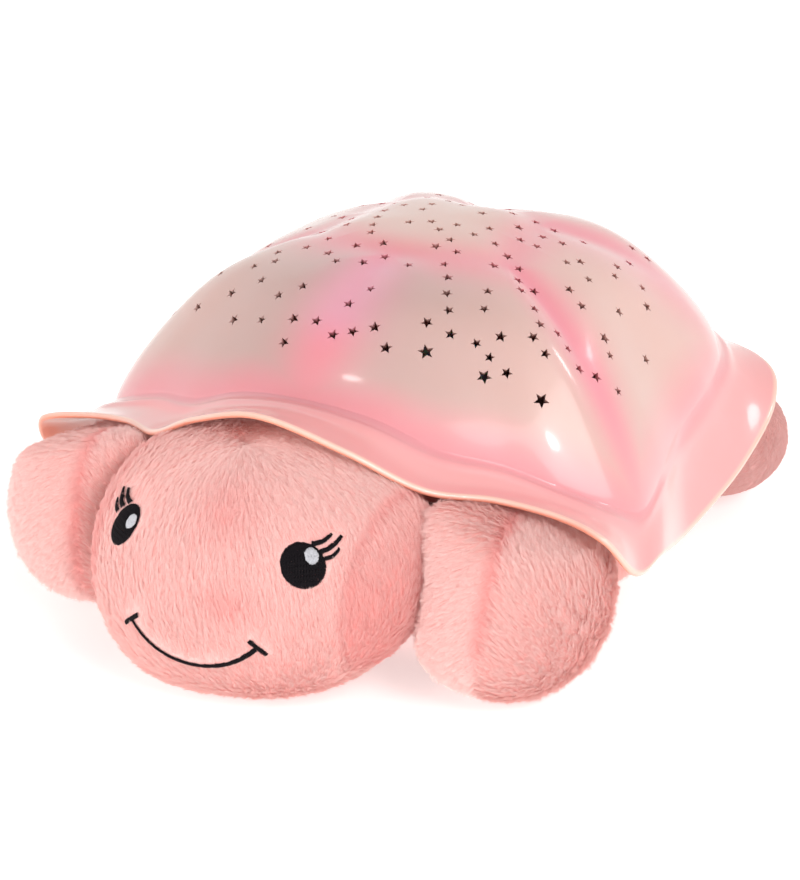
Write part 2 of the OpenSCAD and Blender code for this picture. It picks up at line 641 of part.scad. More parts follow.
// ---- leads ---------------------------------------------------------------
function tube_ring(p, d, r) =
    let (a = unit(cross(d, abs(d[2]) > 0.9 ? [1, 0, 0] : [0, 0, 1])), b = unit(cross(d, a)))
    [for (i = [0:5]) p + r * (cos(60 * i) * a + sin(60 * i) * b)];
module lead(path, r) {
    n = len(path);
    dirs = [for (i = [0:n - 1]) unit(path[min(i + 1, n - 1)] - path[max(i - 1, 0)])];
    points = [for (i = [0:n - 1]) each tube_ring(path[i], dirs[i], r)];
    sides = [for (i = [0:n - 2]) each strip(i * 6, (i + 1) * 6, 6)];
    polyhedron(points, concat(sides, [[0, 1, 2, 3, 4, 5]], [[for (i = [5:-1:0]) (n - 1) * 6 + i]]));
}

// the cells' lead comes up through the plate to the switch board, the other goes on to the lamps
function under_board(x, drop) = bracket_at(board_level - board_thickness - drop) + [x, 0, 0];
lead_seat = 0.05;
module battery_lead() placed() color([0.75, 0.1, 0.1]) for (x = [-1, 1])
    lead([[x * lead_hole[0], lead_hole[1], bay_top + housing_wall + lead_seat],
        [x * lead_hole[0], lead_hole[1], plate_top + 2],
        [x * (lead_hole[0] - 4), lead_hole[1] + 9, plate_top + 6],
        [x * 9, lead_hole[1] + 19, plate_top + 8],
        under_board(x * 8, 12), under_board(x * 8, lead_seat)], 0.8);
module lamp_lead() placed() color([0.2, 0.2, 0.6]) for (x = [-1.2, 1.2])
    lead([[x, crown[1] + 10, board_rest - 0.75], [x, crown[1] + 20, board_rest - 1.4],
        [x, crown[1] + light_radius - 4, plate_top + 0.8], [x, crown[1] + light_radius + 6, plate_top + 0.8],
        [x, crown[1] + light_radius + 14, plate_top + 6],
        under_board(x, 12), under_board(x, lead_seat)], 0.7);

// ---- stuffed pieces ------------------------------------------------------
// a plump piece is a fuller ellipsoid, pressed flat where it meets a neighbour
function plump(v) = sign(v) * pow(abs(v), plumpness);
function pressed(p, flats, i = 0) = i == len(flats) ? p
    : let (over = p * flats[i][0] - flats[i][1])
        pressed(over > 0 ? p - over * flats[i][0] : p, flats, i + 1);
function plump_point(c, r, lean, lift, turn, flats) =
    let (up = r[2] * plump(sin(lift)), out = plump(cos(lift)))
    pressed(c + [r[0] * out * plump(cos(turn)), r[1] * out * plump(sin(turn)) + lean * up, up],
        flats);
module plump_piece(c, r, flats, rows, cols, lean = 0) {
    points = concat([for (j = [1:rows - 1]) for (i = [0:cols - 1])
        plump_point(c, r, lean, -90 + 180 * j / rows, 360 * i / cols, flats)],
        [for (s = [-1, 1]) pressed(c + s * r[2] * [0, lean, 1], flats)]);
    low = (rows - 1) * cols;
    polyhedron(points, concat([for (j = [0:rows - 3]) each strip(j * cols, (j + 1) * cols, cols)],
        [for (i = [0:cols - 1]) [low, i, (i + 1) % cols]],
        [for (i = [0:cols - 1]) [low + 1, low - cols + (i + 1) % cols, low - cols + i]]));
}

// body outline: shares of [half width, length] from nape to tail
torso_keys = [[0, -0.5], [0.56, -0.5], [0.72, -0.42], [0.88, -0.26], [1, -0.08], [1, 0.18],
    [0.80, 0.37], [0.44, 0.48], [0, 0.5]];
torso_half = torso_width / 2;
torso_tall = plate_under - soft_gap;
torso_front = soft_gap - neck_forward;
torso_middle = torso_front + torso_length / 2;
function torso_at(k, side) = [side * torso_half * k[0], torso_middle + torso_length * k[1], 0];
torso_loop = concat([for (k = torso_keys) torso_at(k, 1)],
    [for (i = [len(torso_keys) - 2:-1:1]) torso_at(torso_keys[i], -1)]);
torso_round = len(torso_loop) * 2;
torso_outline = [for (i = [0:torso_round - 1]) let (p = on_loop(torso_loop, i / 2))
    [p[0], max(p[1], torso_front), 0]];
// rows of the body from its flat belly up: [share of its height, share drawn in]
torso_rows = [[0, 0.146], [0.06, 0.073], [0.18, 0.024], [0.4, 0], [0.68, 0], [0.87, 0.024],
    [0.976, 0.061], [1, 0.11]];
module torso() placed() color(pink) difference() {
    n = torso_round;
    m = len(torso_rows);
    c = [0, torso_middle, 0];
    last = (m - 1) * n;
    points = concat([for (r = torso_rows) for (p = torso_outline)
        c + (p - c) * (1 - r[1]) + [0, 0, r[0] * torso_tall]], [c, c + [0, 0, torso_tall]]);
    polyhedron(points, concat([for (j = [0:m - 2]) each strip(j * n, (j + 1) * n, n)],
        [for (i = [0:n - 1]) [m * n, i, (i + 1) % n]],
        [for (i = [0:n - 1]) [m * n + 1, last + (i + 1) % n, last + i]]));
    translate([0, housing_y, -1]) linear_extrude(plate_top)
        rounded(housing_size[0] + 2 * soft_gap, housing_size[1] + 2 * soft_gap, 3.3);
    for (p = bosses) translate([p[0], p[1], plate_under - screw_head_height - 4 * soft_gap])
        cylinder(r = screw_head_radius + soft_gap, h = torso_tall, $fn = 32);
}

head_middle = [0, -head_forward, head_size[2]];
neck = [[0, 1, 0], -neck_forward];
front_size = [front_width, front_length, front_height] / 2;
front_middle = [front_out, -front_forward, front_size[2]];
rear_size = [rear_width, rear_length, rear_height] / 2;
rear_middle = [rear_out, rear_back, rear_size[2]];
function mirrored(f) = [[-f[0][0], f[0][1], f[0][2]], f[1]];
function torso_support(n) = max([for (p = torso_outline) p * n]);
// flat between the head and a front flipper, half way through what both would fill
cheek_gap = [front_out, head_forward - front_forward, 0];
cheek_way = unit(cheek_gap);
function reach(r) = 1 / norm([cheek_way[0] / r[0], cheek_way[1] / r[1]]);
cheek_level = (reach(head_size) + norm(cheek_gap) - reach(front_size)) / 2 + head_middle * cheek_way;
cheek = [cheek_way, cheek_level - soft_gap / 2];
// ways in which the flippers press on the body and on the brim
front_way = [0.911, -0.412, 0];
rear_way = [0.45, 0.893, 0];
brim_way = unit([0.3, 0, 1]);
brim_level = brim_way * [front_out, 0, 0.47 * shell_height];
front_flats = [[-cheek_way, -cheek_level - soft_gap / 2],
    [-front_way, -torso_support(front_way) - soft_gap], [brim_way, brim_level]];
rear_flats = [[-rear_way, -torso_support(rear_way) - soft_gap]];

module head() placed() color(pink)
    plump_piece(head_middle, head_size, [neck, cheek, mirrored(cheek)], 14, 28, head_lean);
module flipper(middle, size, flats, rows, cols) placed() color(pink)
    plump_piece(middle, size, flats, rows, cols);
module other_flipper(middle, size, flats, rows, cols)
    flipper([-middle[0], middle[1], middle[2]], size, [for (f = flats) mirrored(f)], rows, cols);
module front_left_flipper() flipper(front_middle, front_size, front_flats, 10, 18);
module front_right_flipper() other_flipper(front_middle, front_size, front_flats, 10, 18);
module rear_left_flipper() flipper(rear_middle, rear_size, rear_flats, 9, 16);
module rear_right_flipper() other_flipper(rear_middle, rear_size, rear_flats, 9, 16);

// ---- face ---------------------------------------------------------------
// the point of the head's skin that lies on the way from its middle to p, lifted by off
function on_head(p, off) =
    let (v = p - head_middle,
        e = 2 / plumpness,
        d = [v[0], v[1] - head_lean * v[2], v[2]],
        share = [for (i = [0:2]) pow(abs(d[i] / head_size[i]), e)],
        q = d * pow(share[0] + share[1] + share[2], -1 / e),
        g = [for (i = [0:2]) sign(q[i]) * pow(abs(q[i] / head_size[i]), e - 1) / head_size[i]],
        n = unit([g[0], g[1], g[2] - head_lean * g[1]]))
    head_middle + q + [0, head_lean * q[2], 0] + n * off;
function head_at(turn, lift) = let (up = head_size[2] * sin(lift))
    on_head(head_middle + [head_size[0] * cos(lift) * sin(turn),
        head_lean * up - head_size[1] * cos(lift) * cos(turn), up], 0);
// a flat drawing [across, up] laid on the head round a point
function drawn(c, xy, off) =
    let (n = unit(c - head_middle), across = unit(cross([0, 0, 1], n)), up = cross(n, across))
    on_head(c + across * xy[0] + up * xy[1], off);

// embroidered disc: rings of a closed outline about its middle
module patch(c, outline, low, high) {
    n = len(outline);
    mid = [for (a = [0, 1]) sum(outline, a) / n];
    points = concat([for (off = [high, low]) each concat([for (f = [1, 0.5]) each [for (p = outline)
        drawn(c, mid + f * (p - mid), off)]], [drawn(c, mid, off)])]);
    half = 2 * n + 1;
    top = [for (i = [0:n - 1]) [n + i, 2 * n, n + (i + 1) % n]];
    under = [for (i = [0:n - 1]) [half + n + (i + 1) % n, half + 2 * n, half + n + i]];
    polyhedron(points, concat(strip(0, n, n), top, flip(strip(half, half + n, n)), under,
        flip(strip(0, half, n))));
}
function sum(list, a, i = 0) = i == len(list) ? 0 : list[i][a] + sum(list, a, i + 1);

// embroidered line along a path of [across, up, width]
module stitched(c, path, low, high) {
    n = len(path);
    ways = [for (i = [0:n - 1]) path[min(i + 1, n - 1)] - path[max(i - 1, 0)]];
    side = [for (i = [0:n - 1]) unit([-ways[i][1], ways[i][0]]) * path[i][2] / 2];
    points = [for (i = [0:n - 1]) each [for (s = [-1, 1]) each [for (off = [low, high])
        drawn(c, [path[i][0] + s * side[i][0], path[i][1] + s * side[i][1]], off)]]];
    quads = [[0, 1], [1, 3], [3, 2], [2, 0]];
    sides = [for (i = [0:n - 2]) for (q = quads) let (a = 4 * i) each
        [[a + q[0], a + q[1], a + 4 + q[1]], [a + q[0], a + 4 + q[1], a + 4 + q[0]]]];
    z = 4 * n - 4;
    polyhedron(points, concat(sides, [[0, 2, 3], [0, 3, 1]], [[z, z + 1, z + 3], [z, z + 3, z + 2]]));
}

seat = 0.05;
left_eye_at = head_at(eye_turn, eye_lift);
right_eye_at = head_at(-eye_turn, eye_lift);
// an oval about [across, up], with n corners
function oval(middle, half, n) =
    [for (i = [0:n - 1]) let (a = 360 * i / n) [middle[0] + half[0] * cos(a), middle[1] + half[1] * sin(a)]];
eye_outline = oval([0, 0], [0.97, 1.05] * eye_radius, 16);
glint_outline = oval([0.46, 0.33] * eye_radius, [0.29, 0.37] * eye_radius, 12);
// lashes: [start, end, width at the root] in eye radii
lash_table = [[[0.60, 0.98], [1.53, 1.24], 0.24], [[0.95, 0.60], [1.92, 1.01], 0.22],
    [[1.07, 0.22], [1.55, 0.42], 0.20]];
// a lash bows a little and thins to its tip
module lashes(c, side) for (l = lash_table)
    stitched(c, [for (t = [0, 0.35, 0.7, 1]) let (p = l[0] + (l[1] - l[0]) * t)
        eye_radius * [side * p[0], p[1] - 0.12 * sin(180 * t), l[2] * (1 - 0.7 * t)]],
        seat, stitch_thickness);
module eye(c) placed() color(black) patch(c, eye_outline, seat, seat + stitch_thickness);
module glint(c) placed() color([0.8, 0.8, 0.84])
    patch(c, glint_outline, 2 * seat + stitch_thickness, stitch_thickness * 1.7);
module left_eye() eye(left_eye_at);
module right_eye() eye(right_eye_at);
module left_eye_glint() glint(left_eye_at);
module right_eye_glint() glint(right_eye_at);
module left_lashes() placed() color(black) lashes(left_eye_at, 1);
module right_lashes() placed() color(black) lashes(right_eye_at, -1);

mouth_at = head_at(0, mouth_corner);
mouth_end = head_at(mouth_turn, mouth_corner);
mouth_half = mouth_end[0];
mouth_drop = mouth_at[2] - head_at(0, mouth_middle)[2];
module mouth() placed() color(black) {
    stitched(mouth_at, [for (i = [-6:6]) let (t = i / 6)
        [mouth_half * t, -mouth_drop * (1 - t * t), mouth_width]], seat, stitch_thickness);
    // a short stroke closes each corner
    for (s = [-1, 1]) stitched(mouth_at, [for (t = [-1, 0, 1])
        [s * (mouth_half + 0.8 + 3.2 * t), 0.4 - 2.6 * t, mouth_width * (1.35 - 0.15 * abs(t))]],
        seat, stitch_thickness);
}

// ---- assembly -------------------------------------------------------------
shell();
base_plate();
shell_screws();
light_dome();
lamp_board();
lamp_board_screws();
blue_lamp();
green_lamp();
amber_lamp();
lamp_pins();
switch_bracket();
switch_board();
switch_board_screws();
switches();
timer_chip();
power_button();
blue_button();
green_button();
amber_button();
cells();
cell_springs();
cell_plates();
battery_door();
door_screw();
battery_lead();
lamp_lead();
torso();
head();
front_left_flipper();
front_right_flipper();
rear_left_flipper();
rear_right_flipper();
left_eye();
right_eye();
left_eye_glint();
right_eye_glint();
left_lashes();
right_lashes();
mouth();
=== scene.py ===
import math

import bpy
import numpy as np
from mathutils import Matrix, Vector, noise
from mathutils.bvhtree import BVHTree
from mathutils.kdtree import KDTree


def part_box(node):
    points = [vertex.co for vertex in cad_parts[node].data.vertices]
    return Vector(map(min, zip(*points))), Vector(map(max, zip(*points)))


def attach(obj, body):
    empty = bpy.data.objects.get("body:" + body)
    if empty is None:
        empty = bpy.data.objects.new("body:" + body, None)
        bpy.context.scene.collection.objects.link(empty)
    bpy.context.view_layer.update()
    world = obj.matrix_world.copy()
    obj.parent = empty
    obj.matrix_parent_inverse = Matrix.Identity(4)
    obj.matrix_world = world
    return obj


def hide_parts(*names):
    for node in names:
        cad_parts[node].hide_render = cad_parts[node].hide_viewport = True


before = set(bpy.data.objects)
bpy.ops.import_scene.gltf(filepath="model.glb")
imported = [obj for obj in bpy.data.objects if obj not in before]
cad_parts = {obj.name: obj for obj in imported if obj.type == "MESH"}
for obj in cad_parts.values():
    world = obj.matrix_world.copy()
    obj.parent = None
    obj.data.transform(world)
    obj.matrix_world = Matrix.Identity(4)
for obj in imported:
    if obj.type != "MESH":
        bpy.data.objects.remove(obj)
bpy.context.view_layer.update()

MM = 0.001
RNG = np.random.default_rng(7)

# ---- sizes of the turtle, in millimetres
SHELL_SIZE = np.array([234 / 2, 223, 127.4])
WALL = 2.2
DOME_FULLNESS, DOME_RISE = 2.29, 1.25
PILLOW_RISE, PILLOW_WIDTH, PILLOW_REACH, PILLOW_SPAN = 3.2, 16, 0.64, 0.16
FURROW_DEPTH, FURROW_WIDTH = 1.8, 7
# the ring round the crown, and shares of the shell's length and width that give distances along its skin
CROWN_REACH, RADIUS_SHARE, GIRTH_SHARE = 0.36, 0.42, 2.6
BRIM_SAG, BRIM_BEAD = 2.4, 0.8
STAR_COUNT, STAR_SHARE = 190, 0.96
STAR_SMALL, STAR_LARGE, STAR_NOTCH, STAR_APART = 3.8, 4.7, 0.45, 1.35
# the stars' spiral: its start, reach and spread, the turn to the next star, and how far stars stray
STAR_START, STAR_REACH, STAR_SPREAD, STAR_TURN, STAR_STRAY = 0.05, 0.77, 0.56, 0.61803, (0.035, 0.1)
BUTTON_RADIUS, BUTTON_LEAN, BUTTON_REACH = 6, math.radians(40), 0.74
BUTTON_STEPS = (-1, -1 / 3, 1 / 3, 1)
BUTTON_SLACK, BUTTON_CLEAR = 0.4, (0.16, 2.3)
HEAD_SIZE = np.array([60, 43, 42.5])
HEAD_FORWARD, HEAD_LEAN, NECK_FORWARD = 112, 0.23, 76.5
FRONT_SIZE, FRONT_PLACE = np.array([31, 40, 33.5]), (81, -82)
REAR_SIZE, REAR_PLACE = np.array([33, 31, 25]), (66, 101.5)
PLUMPNESS = 0.93
EYE_RADIUS = 7.3
EYE_TURN, EYE_LIFT = math.radians(37), math.radians(21)
MOUTH_TURN, MOUTH_CORNER, MOUTH_MIDDLE = math.radians(26), math.radians(-18), math.radians(-31)
# rows of the shell's mesh, and its columns from one key to the next
DOME_ROWS, BRIM_ROWS, LIP_ROWS, KEY_COLUMNS = 120, 36, 5, 24
# pile and tufts: length in millimetres, lift in degrees, fibres, children of each, depth of the tufts
PILE = {"head": (3.6, 19, 15000, 14, 0.4), "body": (4.0, 22, 9000, 12, 0.35),
        "front": (4.0, 19, 9500, 14, 0.38), "rear": (2.0, 11, 9500, 14, 0.15)}
# how deep the plush ground lies under its full size, and how far stuffing may swell each cushion
GROUND = {"head": 1.1, "body": 1.0, "front": 1.3, "rear": 3.2}
HEAD_SWELLING, FLIPPER_SWELLING, BODY_SWELLING = 2.2, 1.3, 1.6

# The whole turtle is centred on the origin, nose to rear flippers.
HEAD_REACH = math.hypot(HEAD_SIZE[1], HEAD_LEAN * HEAD_SIZE[2])
MIDDLE = (REAR_PLACE[1] + REAR_SIZE[1] - HEAD_FORWARD - HEAD_REACH) / 2
PLACE = np.array([0, -MIDDLE, 0])

# ---- keys of the shell: shares of [half width, length, height]
BRIM_KEYS = [[0, -0.500, 0.734], [0.25, -0.473, 0.664], [0.45, -0.424, 0.562],
             [0.62, -0.365, 0.530], [0.80, -0.339, 0.499], [0.95, -0.348, 0.467],
             [1, -0.294, 0.350], [0.98, -0.186, 0.326], [0.91, -0.016, 0.263],
             [0.90, 0.20, 0.326], [0.87, 0.352, 0.428], [0.735, 0.442, 0.483],
             [0.36, 0.482, 0.514], [0, 0.50, 0.552]]
EDGE_KEYS = [[0, -0.374, 0.699], [0.214, -0.361, 0.675], [0.402, -0.339, 0.612],
             [0.573, -0.298, 0.573], [0.726, -0.267, 0.518], [0.838, -0.226, 0.463],
             [0.889, -0.164, 0.416], [0.855, -0.06, 0.447], [0.795, 0.07, 0.487],
             [0.761, 0.213, 0.526], [0.692, 0.334, 0.557], [0.538, 0.419, 0.581],
             [0.282, 0.442, 0.581], [0, 0.428, 0.573]]
FURROW_KEYS = (0, 6, 10, 13)
CROWN = np.array([0, 0.034 * SHELL_SIZE[1], SHELL_SIZE[2]])
# stars set one by one: [share round from nape, share out, size]
SET_STARS = [[0.154, 0.845, 5.8], [0.110, 0.825, 5.5], [0.069, 0.785, 5.8], [0.029, 0.755, 4.8],
             [0.040, 0.815, 4.8], [0.003, 0.810, 4.8], [0.069, 0.690, 4.6], [0.131, 0.695, 4.6],
             [0.237, 0.770, 5.0], [0.273, 0.730, 5.2], [0.306, 0.860, 4.6], [0.969, 0.780, 4.8],
             [0.912, 0.800, 4.8], [0.973, 0.865, 4.6]]


def both_sides(keys):
    """The keys of one side and their mirror image, as points of a closed loop."""
    half = np.array(keys, float) * SHELL_SIZE
    return np.concatenate([half, half[-2:0:-1] * [-1, 1, 1]])


BRIM_LOOP, EDGE_LOOP = both_sides(BRIM_KEYS), both_sides(EDGE_KEYS)
KEYS_ROUND = len(EDGE_LOOP)
FURROWS = [*FURROW_KEYS, *(KEYS_ROUND - k for k in FURROW_KEYS[-2:0:-1])]
KEY_PITCH = GIRTH_SHARE * (SHELL_SIZE[0] * 2 + SHELL_SIZE[1]) / 2 / KEYS_ROUND
TAIL = KEYS_ROUND / 2


def on_loop(loop, s):
    """Points at places s of the closed Catmull-Rom curve through loop."""
    first = np.floor(s).astype(int)
    t = (s - first)[..., None]
    a, b, c, d = (loop[(first + k) % len(loop)] for k in (-1, 0, 1, 2))
    return (2 * b + (c - a) * t + (2 * a - 5 * b + 4 * c - d) * t**2
            + (3 * b - a - 3 * c + d) * t**3) / 2


def bell(x):
    return np.exp(-x * x)


def ramp(low, high, x):
    t = np.clip((x - low) / (high - low), 0, 1)
    return t * t * (3 - 2 * t)


def unit(v):
    v = np.asarray(v, float)
    return v / np.maximum(np.linalg.norm(v, axis=-1, keepdims=True), 1e-12)


def apart(a, b):
    """Distance between two places round the shell, in keys."""
    d = np.abs(a - b) % KEYS_ROUND
    return np.minimum(d, KEYS_ROUND - d)


def off_furrow(u, s):
    """Distance to the nearest furrow that runs outward, in mm."""
    return np.min([apart(s, f) for f in FURROWS], axis=0) * KEY_PITCH * u


def off_ring(u):
    """Distance to the furrow round the crown scute, in mm."""
    return (u - CROWN_REACH) * SHELL_SIZE[1] * RADIUS_SHARE


def furrow(u, s):
    """Furrows run outward between the scutes and fade; short arms of each run round the crown."""
    off = off_furrow(u, s) / FURROW_WIDTH
    out = bell(off) * ramp(0.24, 0.36, u) * (1 - ramp(0.45, 0.9, u))
    return FURROW_DEPTH * np.maximum(out, bell(off_ring(u) / FURROW_WIDTH) * bell(off / 2.2))


def pillow(u, s):
    """Each scute swells between its furrows."""
    furrows = bell(off_furrow(u, s) / PILLOW_WIDTH)
    return PILLOW_RISE * (1 - furrows) * bell((u - PILLOW_REACH) / PILLOW_SPAN)


def dome(u, s):
    """The dome's outer skin, u from 0 at the crown to 1 at its foot, s round it in keys."""
    u, s = np.broadcast_arrays(np.asarray(u, float), np.asarray(s, float))
    edge = on_loop(EDGE_LOOP, s)
    rise = (1 - np.minimum(1, u)**DOME_FULLNESS)**(1 / DOME_RISE)
    p = CROWN + (edge - CROWN) * u[..., None]
    p[..., 2] = edge[..., 2] + (CROWN[2] - edge[..., 2]) * rise
    inward = unit(np.array([0, CROWN[1], SHELL_SIZE[2] * 0.4]) - p)
    return p + inward * (furrow(u, s) - pillow(u, s))[..., None]


def brim(v, s):
    """The brim, v from 0 at the dome's foot to 1 at the lip."""
    v, s = np.broadcast_arrays(np.asarray(v, float), np.asarray(s, float))
    edge, lip = on_loop(EDGE_LOOP, s), on_loop(BRIM_LOOP, s)
    p = edge + (lip - edge) * v[..., None]
    p[..., 2] += -BRIM_SAG * np.sin(np.pi * v**0.8) + BRIM_BEAD * bell((v - 0.2) / 0.08)
    return p


# ---- meshes
def make_object(name, points, faces, body="turtle"):
    """A smooth mesh object of points in millimetres, riding on a body."""
    mesh = bpy.data.meshes.new(name)
    mesh.from_pydata((np.asarray(points) * MM).tolist(), [], [tuple(f) for f in faces])
    mesh.validate()
    mesh.shade_smooth()
    obj = bpy.data.objects.new(name, mesh)
    bpy.context.scene.collection.objects.link(obj)
    if body:
        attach(obj, body)
    return obj


def ring_faces(first, second, count):
    """Quads between two rings of count points."""
    return [(first + i, first + (i + 1) % count, second + (i + 1) % count, second + i)
            for i in range(count)]


def tube_faces(rings, count, start=0):
    """Quads along a tube, whose rings have count points each, and a cap on each of its ends."""
    rings = [start + r * count for r in range(rings)]
    faces = [f for a, b in zip(rings, rings[1:]) for f in ring_faces(a, b, count)]
    faces.append(tuple(range(start + count - 1, start - 1, -1)))
    return faces + [tuple(range(rings[-1], rings[-1] + count))]


def configure(thing, **settings):
    for key, value in settings.items():
        setattr(thing, key, value)


def modify(obj, kind, **settings):
    """Adds a modifier of that kind and applies it."""
    configure(obj.modifiers.new(kind.lower(), kind), **settings)
    graph = bpy.context.evaluated_depsgraph_get()
    mesh = bpy.data.meshes.new_from_object(obj.evaluated_get(graph))
    obj.modifiers.clear()
    obj.data = mesh


def read(items, key, kind=np.int32, width=1):
    """One value, or width of them, from each item of a mesh."""
    values = np.empty(len(items) * width, kind)
    items.foreach_get(key, values)
    return values


def mesh_points(obj, key="co"):
    """Each vertex's place in metres, or its normal."""
    return read(obj.data.vertices, key, np.float32, 3).reshape(-1, 3).astype(float)


def set_points(obj, points):
    obj.data.vertices.foreach_set("co", np.asarray(points, np.float32).ravel())
    obj.data.update()


def point_tree(points):
    tree = KDTree(len(points))
    for i, p in enumerate(points):
        tree.insert(p, i)
    tree.balance()
    return tree


# ---- materials
class Nodes:
    """The node tree of a material, or of the world, with short ways to add to it."""

    def __init__(self, name, shader="Principled BSDF"):
        owners = bpy.data.worlds if shader == "Background" else bpy.data.materials
        self.material = owners.new(name)
        self.material.use_nodes = True
        self.tree = self.material.node_tree
        self.shader = self.tree.nodes[shader]

    def add(self, kind, settings=None, **inputs):
        node = self.tree.nodes.new("ShaderNode" + kind)
        configure(node, **(settings or {}))
        self.feed(node, inputs)
        return node

    def feed(self, node, inputs):
        """Links or sets inputs of a node by name, or by number in the form n0."""
        for key, value in inputs.items():
            socket = node.inputs[int(key[1:]) if key[1:].isdigit() else key.replace("_", " ")]
            if isinstance(value, bpy.types.NodeSocket):
                self.tree.links.new(value, socket)
            else:
                socket.default_value = value

    def set(self, **inputs):
        self.feed(self.shader, inputs)

    def place(self):
        return self.add("TexCoord").outputs["Object"]

    def noise(self, scale, detail=2, where=None):
        return self.add("TexNoise", Vector=where or self.place(), Scale=scale, Detail=detail).outputs["Fac"]

    def ramp(self, fac, stops):
        node = self.add("ValToRGB", Fac=fac)
        elements = node.color_ramp.elements
        while len(elements) < len(stops):
            elements.new(0.5)
        for element, (at, colour) in zip(elements, stops):
            element.position = at
            element.color = (*colour, 1)
        return node.outputs["Color"]

    def mix(self, fac, a, b, blend="MIX"):
        a, b = (c if isinstance(c, bpy.types.NodeSocket) else (*c, 1) for c in (a, b))
        return self.add("Mix", {"data_type": "RGBA", "blend_type": blend}, n0=fac, n6=a, n7=b).outputs[2]

    def span(self, value, low, high, low_out, high_out):
        return self.add("MapRange", Value=value, From_Min=low, From_Max=high,
                        To_Min=low_out, To_Max=high_out).outputs["Result"]

    def shift(self, colour, other, share, value, low, high, blend="MIX"):
        """A colour that turns to other, or to so much of itself, by up to share as value rises."""
        if isinstance(other, float):
            other = np.multiply(colour, other)
        return self.mix(self.span(value, low, high, 0, share), colour, other, blend)

    def bump(self, height, distance, strength, normal=None):
        node = self.add("Bump", Height=height, Distance=distance, Strength=strength)
        if normal:
            self.feed(node, {"Normal": normal})
        self.set(Normal=node.outputs["Normal"])
        return node.outputs["Normal"]


def painted_plastic():
    """Gloss moulding with an airbrushed pearl coat: its colours come with the mesh, with a painted sheen at
    grazing angles.
    """
    n = Nodes("shell_pearl_paint")
    paint = n.add("Attribute", {"attribute_name": "paint"}).outputs["Color"]
    warm = n.shift(paint, (1.0, 0.86, 0.80), 0.12, n.noise(60, 3), 0.35, 0.65, "MULTIPLY")
    # the colour turns paler and warmer towards grazing angles: a painted sheen
    facing = n.add("LayerWeight", Blend=0.35).outputs["Facing"]
    n.set(Base_Color=n.shift(warm, (1.0, 0.80, 0.62), 0.35, facing, 0.45, 1.0), Roughness=0.3,
          Coat_Weight=0.85, Coat_Roughness=0.1, Specular_IOR_Level=0.5,
          Subsurface_Weight=0.08, Subsurface_Scale=0.004, Subsurface_Radius=(1.0, 0.5, 0.4))
    n.bump(n.noise(900), 0.00003, 0.25)
    return n.material


def moulded(name, colour, roughness, coat=0.0):
    """Moulded plastic: spark-eroded grain, faint flow marks, scuffs and paler worn edges."""
    n = Nodes(name)
    base = n.shift(colour, 0.85, 0.4, n.noise(35, 4), 0.3, 0.7)
    worn = n.add("NewGeometry").outputs["Pointiness"]
    n.set(Base_Color=n.shift(base, 0.4 + 0.6 * np.array(colour), 0.4, worn, 0.52, 0.6),
          Roughness=n.span(n.noise(260, 5), 0.3, 0.7, roughness - 0.08, roughness + 0.12),
          Coat_Weight=coat, Coat_Roughness=0.1)
    n.bump(n.noise(1600), 0.00004, 0.6)
    return n.material


def plated(name, colour, dull):
    """Plated metal with fine drawn lines and duller patches."""
    n = Nodes(name)
    lines = n.noise(1, 3, n.add("Mapping", Vector=n.place(), Scale=(1400, 1400, 90)).outputs[0])
    n.set(Base_Color=n.shift(colour, 0.72, 0.6, n.noise(120, 4), 0.35, 0.65), Metallic=1.0,
          Roughness=n.span(lines, 0.3, 0.7, dull - 0.1, dull + 0.1))
    n.bump(lines, 0.00002, 0.5)
    return n.material


def circuit_board(name):
    """Green solder mask over copper tracks, with the weave of the glass cloth under it."""
    n = Nodes(name)
    tracks = n.add("TexVoronoi", {"feature": "DISTANCE_TO_EDGE"}, Vector=n.place(), Scale=150,
                   Randomness=0.85).outputs["Distance"]
    weave = n.add("TexBrick", Vector=n.place(), Scale=900).outputs["Fac"]
    mask = n.shift((0.012, 0.15, 0.065), (0.02, 0.19, 0.08), 0.5, n.noise(60, 3), 0.35, 0.65)
    copper = n.span(tracks, 0.03, 0.05, 1, 0)
    n.set(Base_Color=n.mix(copper, mask, (0.06, 0.32, 0.13)), Roughness=0.32, Coat_Weight=0.4)
    n.bump(copper, 0.00004, 0.5, n.bump(weave, 0.00001, 0.3))
    return n.material


def tinted_lens(name, colour):
    """Tinted epoxy with a few bubbles and a soft cloud in it."""
    n = Nodes(name)
    cloud = n.noise(500, 4)
    n.set(Base_Color=n.shift(colour, 0.6, 0.6, cloud, 0.3, 0.7),
          Roughness=n.span(cloud, 0.3, 0.7, 0.08, 0.2), Transmission_Weight=0.35, IOR=1.52)
    n.bump(n.noise(1500, 1), 0.00001, 0.3)
    return n.material


def frosted(name):
    """Milky plastic that light spreads in, with an etched grain."""
    n = Nodes(name)
    cloud, grain = n.noise(45, 3), n.noise(2200)
    n.set(Base_Color=n.ramp(cloud, [(0.3, (0.80, 0.80, 0.78)), (0.7, (0.9, 0.9, 0.88))]),
          Roughness=n.span(grain, 0.3, 0.7, 0.5, 0.7), Subsurface_Weight=0.6, Subsurface_Scale=0.006)
    n.bump(grain, 0.00003, 0.6)
    return n.material


